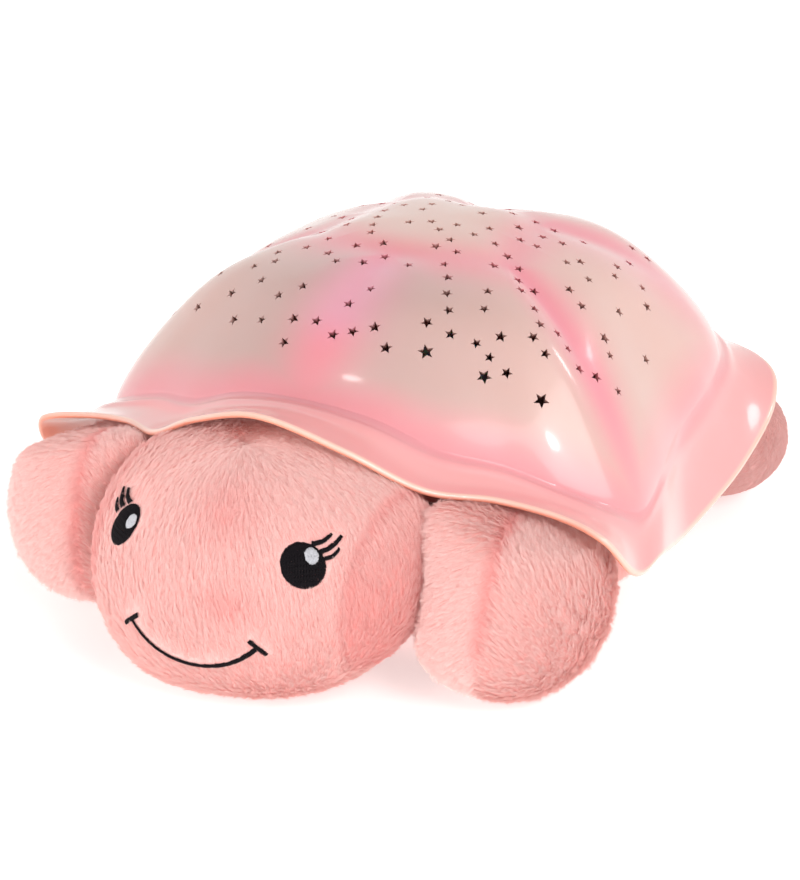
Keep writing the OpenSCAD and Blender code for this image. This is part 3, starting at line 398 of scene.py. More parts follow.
def sleeved_cell(name):
    """A dark shrink sleeve with fine creases, and bare steel where the ends face outward."""
    n = Nodes(name)
    facing = n.add("SeparateXYZ", Vector=n.add("TexCoord").outputs["Normal"])
    ends = n.add("Math", {"operation": "ABSOLUTE"}, n0=facing.outputs[CELL_AXIS]).outputs[0]
    steel = n.span(ends, 0.8, 0.9, 0, 1)
    crease = n.noise(420, 5)
    sleeve = n.ramp(crease, [(0.35, (0.018, 0.018, 0.022)), (0.7, (0.05, 0.05, 0.058))])
    n.set(Base_Color=n.mix(steel, sleeve, (0.62, 0.62, 0.6)), Metallic=steel,
          Roughness=n.span(crease, 0.3, 0.7, 0.28, 0.42))
    n.bump(crease, 0.00005, 0.4)
    return n.material


def wire_sleeve(name, colour):
    """Soft PVC insulation, mottled, with faint draw marks."""
    n = Nodes(name)
    mottle = n.noise(700, 4)
    n.set(Base_Color=n.shift(colour, 0.65, 0.7, mottle, 0.35, 0.65),
          Roughness=n.span(mottle, 0.3, 0.7, 0.42, 0.6))
    n.bump(n.noise(2600), 0.00002, 0.5)
    return n.material


CELL_AXIS = int(np.argmax(np.subtract(*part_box("cells")[::-1])[:2]))
LAMPS = {"blue": (0.03, 0.10, 0.75), "green": (0.03, 0.55, 0.10), "amber": (0.90, 0.30, 0.01)}
BUTTONS = {"power": ("pink", (0.78, 0.18, 0.26)), "blue": ("blue", (0.14, 0.30, 0.72)),
           "green": ("green", (0.18, 0.54, 0.25)), "amber": ("amber", (0.88, 0.43, 0.09))}


def finish_carried_nodes():
    """Materials for the hard parts that keep their solids' own shapes."""
    finishes = {
        moulded("plate_plastic", (0.86, 0.50, 0.48), 0.55): ["base_plate", "switch_bracket", "battery_door"],
        plated("zinc_plate", (0.68, 0.69, 0.72), 0.32):
            ["shell_screws", "lamp_board_screws", "switch_board_screws", "door_screw"],
        plated("nickel_plate", (0.74, 0.73, 0.69), 0.24): ["lamp_pins", "cell_springs", "cell_plates"],
        circuit_board("solder_mask"): ["lamp_board", "switch_board"],
        moulded("switch_plastic", (0.022, 0.022, 0.026), 0.45): ["switches", "timer_chip"],
        frosted("frosted_diffuser"): ["light_dome"],
        sleeved_cell("cell_sleeve"): ["cells"],
        wire_sleeve("red_insulation", (0.45, 0.012, 0.010)): ["battery_lead"],
        wire_sleeve("blue_insulation", (0.02, 0.03, 0.26)): ["lamp_lead"],
    }
    for word, colour in LAMPS.items():
        finishes[tinted_lens(f"{word}_epoxy", colour)] = [f"{word}_lamp"]
    for word, (shade, colour) in BUTTONS.items():
        finishes[moulded(f"{shade}_button_plastic", colour, 0.25, 0.7)] = [f"{word}_button"]
    for material, nodes in finishes.items():
        for node in nodes:
            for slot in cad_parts[node].material_slots:
                slot.material = material


# ---- shell
# colours: scutes, painted shade on those in front, furrows and the front one, brim, painted highlight on its
# lip, holes, painted shade inside
CREAM, FRONT_SHADE, PINK, VIOLET, SALMON, LIP_HIGHLIGHT, BARE, INSIDE_SHADE = np.array([
    [0.76, 0.48, 0.42], [0.56, 0.38, 0.35], [0.86, 0.27, 0.33], [0.80, 0.36, 0.45],
    [0.95, 0.41, 0.41], [1.0, 0.66, 0.52], [0.86, 0.33, 0.22], [0.20, 0.05, 0.035]])


def blend(a, b, share):
    return a + (b - a) * share[..., None]


def dome_paint(u, s):
    """Cream scutes, painted greyer in front as shade, with pink sprayed along the furrows and up from the
    dome's foot.
    """
    out = np.max([bell(apart(s, f) * KEY_PITCH * np.maximum(u, 0.3) / 13) for f in FURROWS], axis=0)
    out = out * ramp(0.18, 0.4, u) * (1 - 0.35 * ramp(0.75, 1, u))
    ring, foot = 0.75 * bell(off_ring(u) / 11), 0.75 * ramp(0.88, 1.02, u)
    front = bell(apart(s, 0) / 2.2) * ramp(0.3, 0.5, u) * (1 - ramp(0.7, 0.9, u))
    # the front scutes are painted greyer, as shade
    ground = blend(CREAM, FRONT_SHADE, bell(apart(s, 0) / 5) * ramp(0.25, 0.5, u))
    return blend(ground, blend(PINK, VIOLET, front), np.clip(np.maximum(np.maximum(out, ring), foot), 0, 1))


def brim_paint(v, s):
    paint = blend(dome_paint(np.ones(np.shape(s)), s), SALMON, ramp(0.0, 0.35, v))
    # a paler band along the lip: a painted highlight
    return blend(paint, LIP_HIGHLIGHT, 0.7 * ramp(0.95, 0.985, v))


def scatter(k, salt):
    """A share from 0 to 1 for each k and salt, scattered but the same in each run."""
    x = math.sin(math.radians(k * 127.1 + salt * 311.7)) * 43758.55
    return x - math.floor(x)


def star_places():
    """[share out, place round, size] of every star, none of them near another or a button."""
    places = [[b[1], b[0] * KEYS_ROUND, b[2]] for b in SET_STARS]
    points = [dome(p[0], p[1]) for p in places]
    for k in range(STAR_COUNT):
        if scatter(k, 9) >= STAR_SHARE:
            continue
        u = STAR_START + STAR_REACH * ((k + 0.5) / STAR_COUNT)**STAR_SPREAD
        u = u + STAR_STRAY[0] * (scatter(k, 1) - 0.5)
        s = (k * STAR_TURN + STAR_STRAY[1] * scatter(k, 2)) % 1 * KEYS_ROUND
        size = STAR_SMALL + (STAR_LARGE - STAR_SMALL) * scatter(k, 3)
        p = dome(u, s)
        near_button = u > BUTTON_REACH - BUTTON_CLEAR[0] and apart(s, TAIL) < BUTTON_CLEAR[1]
        if not near_button and min(np.linalg.norm(p - q) for q in points) > STAR_LARGE * STAR_APART:
            places.append([u, s, size])
            points.append(p)
    return places


def star_cutter():
    """One mesh of all the star prisms that pierce the shell."""
    points, faces = [], []
    for u, s, size in star_places():
        p = dome(u, s)
        normal = unit(np.cross(dome(u + 0.02, s) - dome(u - 0.02, s),
                               dome(u, s + 0.2) - dome(u, (s - 0.2) % KEYS_ROUND)))
        across = unit(np.cross([0, 0, 1.0], normal) if abs(normal[2]) < 0.99 else [1.0, 0, 0])
        up = np.cross(normal, across)
        turn = 2 * math.pi * scatter(u, 4)
        faces += tube_faces(2, 10, len(points))
        for depth in (-2.5 * WALL, 1.5 * WALL):
            for i in range(10):
                r = size / 2 * (STAR_NOTCH if i % 2 else 1)
                a = turn + math.pi / 5 * i
                points.append(p + normal * depth + r * (math.cos(a) * across + math.sin(a) * up))
    return make_object("star_cutter", points + PLACE, faces, None)


def button_cutter(step):
    """The round hole that a button stands in."""
    p = dome(BUTTON_REACH, TAIL + step)
    axis = np.array([0, math.sin(BUTTON_LEAN), math.cos(BUTTON_LEAN)])
    across, sides = np.array([1.0, 0, 0]), 64
    up = np.cross(axis, across)
    turns = [2 * math.pi * i / sides for i in range(sides)]
    points = [p + axis * depth + (BUTTON_RADIUS + BUTTON_SLACK) * (math.cos(a) * across + math.sin(a) * up)
              for depth in (-12, 12) for a in turns]
    return make_object("button_cutter", np.array(points) + PLACE, tube_faces(2, sides), None)


def cut(obj, cutter):
    modify(obj, "BOOLEAN", operation="DIFFERENCE", solver="MANIFOLD", object=cutter)
    bpy.data.objects.remove(cutter)


def make_shell():
    """One wall from the crown to the lip and back up inside, pierced by stars and button holes."""
    columns = KEY_COLUMNS * KEYS_ROUND
    s = (np.arange(columns) * KEYS_ROUND / columns)[None, :]
    u = np.sin(np.pi / 2 * (np.arange(1, DOME_ROWS + 1) / DOME_ROWS)**0.9)[:, None]
    v = (np.arange(1, BRIM_ROWS + 1) / BRIM_ROWS)[:, None]
    outer = np.concatenate([dome(u, s), brim(v, s)])
    paint = np.concatenate([dome_paint(u, s), brim_paint(v, s)])
    down = np.gradient(outer, axis=0)
    along = np.roll(outer, -1, axis=1) - np.roll(outer, 1, axis=1)
    normal = unit(np.cross(down, along))
    inner = outer - WALL * normal
    # The lip is a half round between the outer and inner skins.
    middle, rim_out = (outer[-1] + inner[-1]) / 2, unit(down[-1])
    lip = []
    for i in range(1, LIP_ROWS + 1):
        a = math.pi * i / (LIP_ROWS + 1)
        lip.append(middle + WALL / 2 * (math.cos(a) * normal[-1] + math.sin(a) * rim_out))
    rows = [*outer, *lip, *[inner[r] for r in [*range(len(outer) - 1, 0, -3), 0]]]
    points = np.concatenate([*rows, [CROWN], [CROWN - [0, 0, WALL]]])
    top, under = len(points) - 2, len(points) - 1
    faces = []
    for r in range(len(rows) - 1):
        faces += [(a, d, c, b) for a, b, c, d in ring_faces(r * columns, (r + 1) * columns, columns)]
    last = (len(rows) - 1) * columns
    faces += [(top, i, (i + 1) % columns) for i in range(columns)]
    faces += [(under, last + (i + 1) % columns, last + i) for i in range(columns)]
    shell = make_object("shell_dome", points + PLACE, faces)
    cut(shell, star_cutter())
    for step in BUTTON_STEPS:
        cut(shell, button_cutter(step))
    shell.data.set_sharp_from_angle(angle=math.radians(38))
    paint_shell(shell, outer + PLACE, paint, normal)
    shell.data.materials.clear()
    shell.data.materials.append(painted_plastic())
    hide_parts("shell")
    return shell


def paint_shell(shell, outer, paint, normal):
    """The outer skin takes the paint, walls of holes and the lip are bare, and the inside is painted dark as
    shade.
    """
    flat = outer.reshape(-1, 3)
    tree = point_tree(flat)
    points = mesh_points(shell) / MM
    nearest = np.array([tree.find(p)[1] for p in points])
    depth = np.sum((flat[nearest] - points) * normal.reshape(-1, 3)[nearest], axis=1) / WALL
    wall = blend(paint.reshape(-1, 3)[nearest], BARE, ramp(0.25, 0.75, depth))
    # the dome's inner skin is painted dark, as shade
    colours = blend(wall, INSIDE_SHADE, ramp(0.8, 1, depth) * (nearest // outer.shape[1] < DOME_ROWS))
    layer = shell.data.color_attributes.new("paint", "FLOAT_COLOR", "POINT")
    layer.data.foreach_set("color", np.insert(colours, 3, 1, axis=1).astype(np.float32).ravel())


# ---- stuffed pieces
REST_HEIGHT = 0.9
FLOW_FORWARD, FLOW_SPREAD = 0.45, math.radians(48)
HEAD_MIDDLE = np.array([0, -HEAD_FORWARD, HEAD_SIZE[2]])
FRONT_MIDDLE = np.array([*FRONT_PLACE, FRONT_SIZE[2]])
REAR_MIDDLE = np.array([*REAR_PLACE, REAR_SIZE[2]])
SOFT_GAP, CHEEK_BULGE, CHEEK_TILT = 0.3, 5.0, 5.5
NECK = (np.array([0, 1.0, 0]), -NECK_FORWARD)
MIRROR, SIDES = np.array([-1.0, 1, 1]), {1: "left", -1: "right"}
TORSO_KEYS = [[0, -0.5], [0.56, -0.5], [0.72, -0.42], [0.88, -0.26], [1, -0.08], [1, 0.18],
              [0.80, 0.37], [0.44, 0.48], [0, 0.5]]
TORSO_SIZE, TORSO_TOP, BODY_RADIUS = np.array([82, 171]), 48.5, 70
# the hem's foremost end, the slopes tried for it in degrees, its least and longest reach, its inset at the
# body and short of the shell, its sag and thickness, and over how many columns its outer edge is evened
HEM_FRONT, HEM_SLOPES, HEM_NEAR, HEM_FAR, HEM_INSETS = -35, (22, 30, 37, 44, 51, 58), 6, 45, (0.94, 0.98)
HEM_SAG, HEM_THICK, HEM_EVEN = 2.5, 1.2, 9
OPENING_ROOM, OPENING_CORNER = 6.5, 4
# before stuffing: share of the full size, voxels of the cushions and the body, how near a seam is held
START_SHARE, VOXEL, BODY_VOXEL, SEAM_HOLD, STUFFING_FRAMES = 0.985, 3.2, 3.6, 1.8, 20
TORSO_MIDDLE = SOFT_GAP - NECK_FORWARD + TORSO_SIZE[1] / 2


def mirrored(flat):
    return flat[0] * MIRROR, flat[1]


def torso_loop():
    half = np.array([[k[0] * TORSO_SIZE[0], TORSO_MIDDLE + k[1] * TORSO_SIZE[1], 0] for k in TORSO_KEYS])
    return np.concatenate([half, half[-2:0:-1] * MIRROR])


def torso_outline():
    loop = torso_loop()
    return on_loop(loop, np.arange(0, len(loop), 0.125))


def torso_support(normal):
    return float(np.max(torso_loop() @ normal))


def cheek_flat():
    """The flat where the head and a front flipper press on each other."""
    way = unit([FRONT_MIDDLE[0], FRONT_MIDDLE[1] - HEAD_MIDDLE[1], -CHEEK_TILT])
    head = 1 / np.linalg.norm(way[:2] / HEAD_SIZE[:2])
    flipper = 1 / np.linalg.norm(way[:2] / FRONT_SIZE[:2])
    gap = np.linalg.norm(FRONT_MIDDLE[:2] - HEAD_MIDDLE[:2])
    return way, (head + gap - flipper) / 2 + CHEEK_BULGE + HEAD_MIDDLE @ way


CHEEK_WAY, CHEEK_LEVEL = cheek_flat()
FRONT_WAY, REAR_WAY = np.array([0.911, -0.412, 0]), np.array([0.45, 0.893, 0])
BRIM_WAY = unit([0.3, 0, 1])
HEAD_FLATS = [NECK, (CHEEK_WAY, CHEEK_LEVEL), mirrored((CHEEK_WAY, CHEEK_LEVEL))]
FRONT_FLATS = [(-CHEEK_WAY, -CHEEK_LEVEL), (-FRONT_WAY, -torso_support(FRONT_WAY)),
               (BRIM_WAY, float(BRIM_WAY @ [FRONT_MIDDLE[0], 0, 0.47 * SHELL_SIZE[2]]))]
REAR_FLATS = [(-REAR_WAY, -torso_support(REAR_WAY))]


def plump(v):
    return np.sign(v) * np.abs(v)**PLUMPNESS


def pressed(points, flats, rounding=2.5):
    """Points pushed back behind each flat, with a rounded edge round it."""
    for normal, level in flats:
        over = points @ normal - level
        points = points - np.outer((over + np.sqrt(over**2 + rounding**2)) / 2, normal)
    return points


def plump_form(middle, size, flats, lean=0.0, rows=44, columns=72):
    """A fuller ellipsoid, pressed flat where it meets its neighbours."""
    lift = (np.arange(1, rows) / rows - 0.5)[:, None] * np.pi
    turn = 2 * np.pi * np.arange(columns)[None, :] / columns
    up = size[2] * plump(np.sin(lift)) * np.ones_like(turn)
    x = size[0] * plump(np.cos(lift)) * plump(np.cos(turn))
    y = size[1] * plump(np.cos(lift)) * plump(np.sin(turn)) + lean * up
    points = np.stack([x, y, up], axis=-1).reshape(-1, 3)
    poles = np.array([[0, -lean, -1.0], [0, lean, 1.0]]) * size[2]
    points = pressed(np.concatenate([points, poles]) + middle, flats)
    low = (rows - 1) * columns
    faces = [f for r in range(rows - 2) for f in ring_faces(r * columns, (r + 1) * columns, columns)]
    faces += [(low, (i + 1) % columns, i) for i in range(columns)]
    top = low - columns
    faces += [(low + 1, top + i, top + (i + 1) % columns) for i in range(columns)]
    return points, faces


def torso_form():
    """The body's cushion: a rounded outline with a flat belly and a flat top."""
    outline = torso_outline()
    outline[:, 1] = np.maximum(outline[:, 1], SOFT_GAP - NECK_FORWARD)
    middle = np.array([0, TORSO_MIDDLE, 0])
    rows = [(0, 12), (1.2, 8.5), (3, 6), (6, 3.6), (9, 2), (14, 0.7), (20, 0), (27, 0), (34, 0), (39, 0.7),
            (43, 2), (46, 4), (TORSO_TOP, 9)]
    points = [middle + (p - middle) * (1 - inset / TORSO_SIZE[0]) + [0, 0, z]
              for z, inset in rows for p in outline]
    return np.array(points), tube_faces(len(rows), len(outline))


def seam_distance(points, seam):
    """Signed distance of points from a seam's plane."""
    return (points - seam[0]) @ seam[1]


def stuff(pieces):
    """Swells every cushion at once with Blender's cloth, its seams held, then caps the swelling."""
    starts = [mesh_points(obj) for obj, _, _ in pieces]
    for (obj, seams, _), start in zip(pieces, starts):
        held = obj.vertex_groups.new(name="held")
        near = np.zeros(len(start), bool)
        for seam in seams:
            near |= (np.abs(seam_distance(start / MM, seam)) < SEAM_HOLD) & (start[:, 2] > seam[2] * MM)
        held.add(np.flatnonzero(near).tolist(), 1.0, "ADD")
        cloth = obj.modifiers.new("stuffing", "CLOTH").settings
        configure(cloth, vertex_group_mass="held", mass=0.3, quality=5, use_pressure=True,
                  uniform_pressure_force=4)
        cloth.effector_weights.gravity = 0
    for step in range(1, STUFFING_FRAMES + 1):
        bpy.context.scene.frame_set(step)
    graph = bpy.context.evaluated_depsgraph_get()
    ends = [mesh_points(obj.evaluated_get(graph)) for obj, _, _ in pieces]
    for (obj, _, most), start, end in zip(pieces, starts, ends):
        moved = end - start
        far = np.linalg.norm(moved, axis=1, keepdims=True)
        obj.modifiers.clear()
        set_points(obj, start + moved * np.minimum(1, most * MM / np.maximum(far, 1e-9)))
        obj.vertex_groups.clear()
    bpy.context.scene.frame_set(1)


def sink(obj, depth):
    """Moves each vertex inward by depth, in millimetres, to leave room for the pile."""
    set_points(obj, mesh_points(obj) - mesh_points(obj, "normal") * depth[:, None] * MM)


def rest(obj):
    """Flattens a piece where it stands on the table, with room for its pile."""
    set_points(obj, pressed(mesh_points(obj) / MM, [(np.array([0, 0, -1.0]), -REST_HEIGHT)], 1.5) * MM)


def swell(obj, places, flip=(1, 1, 1)):
    """Moves points out where the stuffing is fuller: [centre, reach, push] each."""
    points = mesh_points(obj) / MM
    for centre, reach, push in places:
        near = bell(np.linalg.norm(points - np.multiply(centre, flip), axis=1) / reach)
        points = points + near[:, None] * np.multiply(push, flip)
    set_points(obj, points * MM)
    return points


def tufts(obj, kind, flow, share=1.0):
    """Relief of combed tufts, drawn out along the way the pile lies."""
    points, normals = mesh_points(obj), mesh_points(obj, "normal")
    flow = unit(flow - np.sum(flow * normals, axis=1, keepdims=True) * normals)
    relief = np.zeros(len(points))
    for step in (-1.6, -0.8, 0, 0.8, 1.6):
        relief += [noise.noise(p) for p in (points / MM + flow * step) / 1.5]
    set_points(obj, points + normals * (relief / 5 * 2 * PILE[kind][4] * share * MM)[:, None])


# ---- pile
# PLUSH_CREASE deepens creases, seams and shaded parts as painted shade, and the head's redder patches;
# FIBRE_ROOT is painted shade deep in the pile
PLUSH, PLUSH_DEEP, PLUSH_CREASE, FIBRE_ROOT, FIBRE_TIP = np.array([
    [0.98, 0.58, 0.54], [0.93, 0.45, 0.42], [0.96, 0.72, 0.72], [0.98, 0.56, 0.53], [1.0, 0.76, 0.72]])
WHORL = np.array([-3.0, -104.0, 83.0])
HEAD_SEAM_X = 47.5
# redder patches, nose and brow: [middle, size each way] in millimetres
HEAD_ROSY = [[(13, -143, 42), (9, 9, 5.5)], [(4, -128, 68), (12, 14, 12)]]
# where the stuffing is fuller: [centre, reach, push] in millimetres
HEAD_SWELLS = [[(-24, -125, 9), 26, (-1.3, -2.1, -2.4)], [(13, -143, 42), 8, (0.3, -1.0, 0)],
               [(54, -94, 44), 24, (4.0, 0.5, 0.5)], [(-54, -94, 44), 24, (-1.5, 0.5, 0.5)],
               [(49, -88, 60), 15, (3.5, 0, 3.0)], [(-46, -88, 62), 15, (-2.5, 0, 3.0)]]
FRONT_SWELLS = [[(59, -85, 54), 16, (-5, -4, 11)], [(88, -94, 54), 24, (1, -2, 6)],
                [(62, -98, 24), 22, (-5, -1, 0)]]


def plush_look(n, colour, **inputs):
    """What ground and pile share: both deepen where the mesh's second map says so."""
    tint = n.add("Attribute", {"attribute_name": "tint"}).outputs["Vector"]
    # the second map deepens the colour: painted shade in creases, along seams, over the rear flippers and
    # under the shell, and the head's redder patches and side panels
    deeper = n.mix(n.add("SeparateXYZ", Vector=tint).outputs["X"], colour, PLUSH_CREASE, "MULTIPLY")
    n.set(Base_Color=deeper, **inputs)
    return n.material


def plush_cloth(name, colour, deep):
    """The knitted ground of the plush, and the look of its pile where fibres are parted."""
    n = Nodes(name)
    fine = n.noise(700, 3)
    shade = n.shift(deep, colour, 1, fine, 0.3, 0.7)
    shade = n.shift(shade, 0.85 * colour, 0.25, n.noise(55, 3), 0.35, 0.65)
    n.bump(fine, 0.0006, 0.6)
    return plush_look(n, shade, Roughness=0.85, Sheen_Weight=0.5, Sheen_Roughness=0.5,
                      Sheen_Tint=(1.0, 0.85, 0.82, 1))


def pile_fibre(name, root, tip):
    """Fibres are painted darker towards their roots, as shade deep in the pile, and differ a little from one
    to the next.
    """
    n = Nodes(name)
    hair = n.add("HairInfo")
    along = n.ramp(hair.outputs["Intercept"], [(0.0, root), (0.55, (root + tip) / 2), (1.0, tip)])
    shade = n.shift(along, tip * 0.78, 0.35, hair.outputs["Random"], 0, 1)
    shade = n.shift(shade, tip * (1.0, 0.88, 0.88), 0.3, n.noise(40), 0.4, 0.62)
    # the fibres glow faintly: painted light that lifts the shade in the pile
    return plush_look(n, shade, Emission_Color=(0.85, 0.5, 0.46, 1), Emission_Strength=0.05, Roughness=0.5,
                      Specular_IOR_Level=0.25, Sheen_Weight=0.35, Sheen_Roughness=0.4,
                      Sheen_Tint=(1.0, 0.88, 0.86, 1))


def lay_flow(mesh, stream, along, tint, wrap=None):
    """A map whose second axis falls along the way the pile lies, and another of its tint."""
    corner = read(mesh.loops, "vertex_index")
    u = stream[corner]
    if wrap:
        base = np.repeat(u[read(mesh.polygons, "loop_start")], read(mesh.polygons, "loop_total"))
        u = base + (u - base + wrap / 2) % wrap - wrap / 2
    for name, across, up in (("pile_flow", u, -along[corner]), ("tint", tint[corner], 0 * u)):
        layer = mesh.uv_layers.new(name=name)
        layer.data.foreach_set("uv", np.stack([across, up], axis=1).astype(np.float32).ravel())
    mesh.uv_layers.active = mesh.uv_layers["pile_flow"]


def grow_pile(obj, kind, cover, short, seed):
    """Combed pile on obj: cover and short are shares for each vertex of density and length."""
    for name, share in (("cover", cover), ("short", short)):
        group = obj.vertex_groups.new(name=name)
        for step in range(21):
            chosen = np.flatnonzero(np.round(share * 20).astype(int) == step)
            if len(chosen):
                group.add(chosen.tolist(), step / 20, "REPLACE")
    length, lift, fibres, children, _ = PILE[kind]
    obj.modifiers.new("pile", "PARTICLE_SYSTEM")
    hair = obj.particle_systems[-1]
    hair.seed = seed
    hair.vertex_group_density, hair.vertex_group_length = "cover", "short"
    reach, lift = length * MM / 4, math.radians(lift)
    configure(hair.settings, type="HAIR", count=fibres, use_advanced_hair=True,
              hair_step=4, render_step=3, display_step=2, use_modifier_stack=False,
              normal_factor=reach * math.sin(lift), tangent_factor=reach * math.cos(lift),
              factor_random=reach * 0.16, child_type="INTERPOLATED", rendered_child_count=children,
              child_percent=children, clump_factor=0.3, clump_shape=0.1,
              roughness_1=0.0002, roughness_1_size=0.003, roughness_2=0.0002, roughness_2_size=0.5,
              roughness_endpoint=0.0002, roughness_end_shape=1.0,
              root_radius=1.0, tip_radius=0.25, radius_scale=0.00009, material=2)


def clothe(obj, node, prefix, painted_shade_scale=1.0):
    """Plush materials for a stuffed piece; the part it stands for is hidden."""
    obj.data.materials.clear()
    # a scale below 1 darkens every colour of the piece: painted shade
    obj.data.materials.append(plush_cloth(prefix + "_ground", painted_shade_scale * PLUSH, painted_shade_scale * PLUSH_DEEP))
    obj.data.materials.append(pile_fibre(prefix + "_pile", painted_shade_scale * FIBRE_ROOT, painted_shade_scale * FIBRE_TIP))
    obj.data.polygons.foreach_set("material_index", np.zeros(len(obj.data.polygons), np.int32))
    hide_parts(node)


def cushion(name, form, voxel):
    """A piece before it is stuffed, remeshed evenly so that cloth can swell it."""
    points, faces = form
    obj = make_object(name, points + PLACE, faces)
    modify(obj, "REMESH", mode="VOXEL", voxel_size=voxel * MM)
    return obj


def start_head():
    """The head's cushion, its seams and how far it may swell. Flippers and body start alike."""
    form = plump_form(HEAD_MIDDLE, HEAD_SIZE * START_SHARE, HEAD_FLATS, HEAD_LEAN)
    seams = [(np.array([side * HEAD_SEAM_X, 0, 0]), np.array([side, 0, 0]), 0) for side in (-1, 1)]
    return cushion("head_plush", form, VOXEL), seams, HEAD_SWELLING


def finish_head(head, seams):
    """The pile is combed from a whorl on the brow. It stops at the embroidery and deepens past the seams."""
    modify(head, "SUBSURF", levels=2, render_levels=2)
    seam = np.min([np.abs(seam_distance(mesh_points(head) / MM, s)) for s in seams], axis=0)
    bare = face_nearness(swell(head, HEAD_SWELLS), 1.4)
    sink(head, GROUND["head"] - 0.5 * bare + 0.4 * bell(seam / 1.6))
    rest(head)
    points = mesh_points(head) / MM
    axis = unit(WHORL - (HEAD_MIDDLE + PLACE))
    right = unit(np.cross([0, 1.0, 0], axis))
    ahead = np.cross(axis, right)
    away = unit(points - (HEAD_MIDDLE + PLACE))
    azimuth = np.arctan2(away @ right, away @ ahead)
    polar = np.arccos(np.clip(away @ axis, -1, 1))
    rosy = [0.6 * bell(np.linalg.norm((points - middle) / size, axis=1)) for middle, size in HEAD_ROSY]
    panel = ramp(0, 1.5, np.abs(points[:, 0]) - HEAD_SEAM_X) * (1 - 0.6 * ramp(42, 68, points[:, 2]))
    # the tint: painted shade along the seams, the side panels deeper past them and less so high up, and
    # redder nose and brow
    tint = np.clip(0.6 * bell(seam / 1.3) + 0.75 * panel + sum(rosy), 0, 1)
    lay_flow(head.data, azimuth, polar, tint, 2 * math.pi)
    tufts(head, "head", away * np.cos(polar)[:, None] - axis, 1 - bare)
    neck = points[:, 1] - (PLACE[1] - NECK_FORWARD)
    short = 0.4 + 0.6 * (1 - face_nearness(points, 4.0))
    clothe(head, "head", "head")
    grow_pile(head, "head", (1 - bare) * (1 - ramp(-8, -3, neck)), short, 11)


def start_flipper(name, middle, size, flats, side, seam_place, seam_way, seam_foot):
    flip = np.array([side, 1, 1])
    if side < 0:
        flats = [mirrored(f) for f in flats]
    form = plump_form(middle * flip, size * START_SHARE, flats, rows=36, columns=60)
    seam = seam_place * flip + PLACE, unit(seam_way * flip), seam_foot
    return cushion(name, form, VOXEL), [seam], FLIPPER_SWELLING


def finish_flipper(flipper, seams, kind, node, middle, side, seed):
    """The pile lies away from the seam and down, as a feather's barbs leave its quill."""
    modify(flipper, "SUBSURF", levels=2, render_levels=2)
    rear, flip, foot = kind == "rear", (side, 1, 1), seams[0][2]
    seam = seam_distance(swell(flipper, [] if rear else FRONT_SWELLS, flip), seams[0])
    sink(flipper, GROUND[kind] + 0.3 * bell(seam / 2.0))
    rest(flipper)
    points = mesh_points(flipper) / MM
    away = points - (middle * flip + PLACE)
    fall = np.array([0, FLOW_FORWARD if rear else -FLOW_FORWARD, -1.0])
    down, off = away @ fall, np.abs(seam)
    crease = bell(seam / 2.6) * ramp(foot - 8, foot + 8, points[:, 2])
    out, on = math.sin(FLOW_SPREAD), math.cos(FLOW_SPREAD)
    # the tint: painted shade in the crease, and over the whole of each rear flipper
    lay_flow(flipper.data, down * out - off * on, down * on + off * out, np.maximum(crease, 0.5 * rear))
    tufts(flipper, kind, on * fall + out * np.outer(np.sign(seam), seams[0][1]))
    # rear flippers take a darker copy of the plush colours: painted shade
    clothe(flipper, node, node, 0.82 if rear else 1.0)
    grow_pile(flipper, kind, 1 - 0.4 * bell(seam / 0.7) * crease, np.ones(len(points)), seed)


def start_torso():
    seam = np.array([0, 0, 4.0]), np.array([0, 0, 1.0]), 0
    return cushion("body_plush", torso_form(), BODY_VOXEL), [seam], BODY_SWELLING


def opening_cutter(size, middle_y):
    """A prism with round corners, for the opening round the battery housing."""
    steps, corner, outline = 8, OPENING_CORNER, []
    for quarter, (x, y) in enumerate(((1, 1), (-1, 1), (-1, -1), (1, -1))):
        for i in range(steps + 1):
            a = math.pi / 2 * (quarter + i / steps)
            outline.append([x * (size[0] / 2 - corner) + corner * math.cos(a),
                            middle_y + y * (size[1] / 2 - corner) + corner * math.sin(a)])
    points = [[*p, z] for z in (-5, 60) for p in outline]
    return make_object("opening_cutter", points, tube_faces(2, len(outline)), None)


def shell_inside(shell, start, out):
    """Where a slope from start meets the inside of the shell, the gentlest slope tried first."""
    for lift in np.radians(HEM_SLOPES):
        way = out * math.cos(lift) + [0, 0, math.sin(lift)]
        far = shell.ray_cast(Vector(start * MM), Vector(way))[3]
        if far is not None and HEM_NEAR < far / MM < HEM_FAR:
            break
    return start + way * (far / MM if far else HEM_FAR) * HEM_INSETS[1]


def make_hem(shell):
    """The cloth from the body's top edge to the inside of the shell, so that no light shows between them."""
    tree = BVHTree.FromObject(shell, bpy.context.evaluated_depsgraph_get())
    middle = np.array([0, TORSO_MIDDLE, 0]) + PLACE
    edge = (torso_outline() + PLACE - middle) * HEM_INSETS[0]
    edge = edge[edge[:, 1] + middle[1] > HEM_FRONT]
    edge = edge[np.argsort(np.arctan2(edge[:, 0], edge[:, 1]))]
    starts = middle + edge + [0, 0, TORSO_TOP - 2]
    ends = np.array([shell_inside(tree, p, unit(out)) for p, out in zip(starts, edge)])
    window = np.ones(HEM_EVEN) / HEM_EVEN
    ends = np.stack([np.convolve(np.pad(line, HEM_EVEN // 2, "edge"), window, "valid") for line in ends.T],
                    axis=1)
    share = np.linspace(0, 1, 9)
    points = []
    for start, end in zip(starts, ends):
        line = [start + (end - start) * t - [0, 0, HEM_SAG * math.sin(math.pi * t)] for t in share]
        points += [p + [0, 0, HEM_THICK / 2] for p in line] + [p - [0, 0, HEM_THICK / 2] for p in line[::-1]]
    hem = make_object("body_hem", np.array(points), tube_faces(len(starts), 2 * len(share)))
    hem.data.materials.append(plush_cloth("hem_cloth", PLUSH, PLUSH_DEEP))
    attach(hem, "turtle")


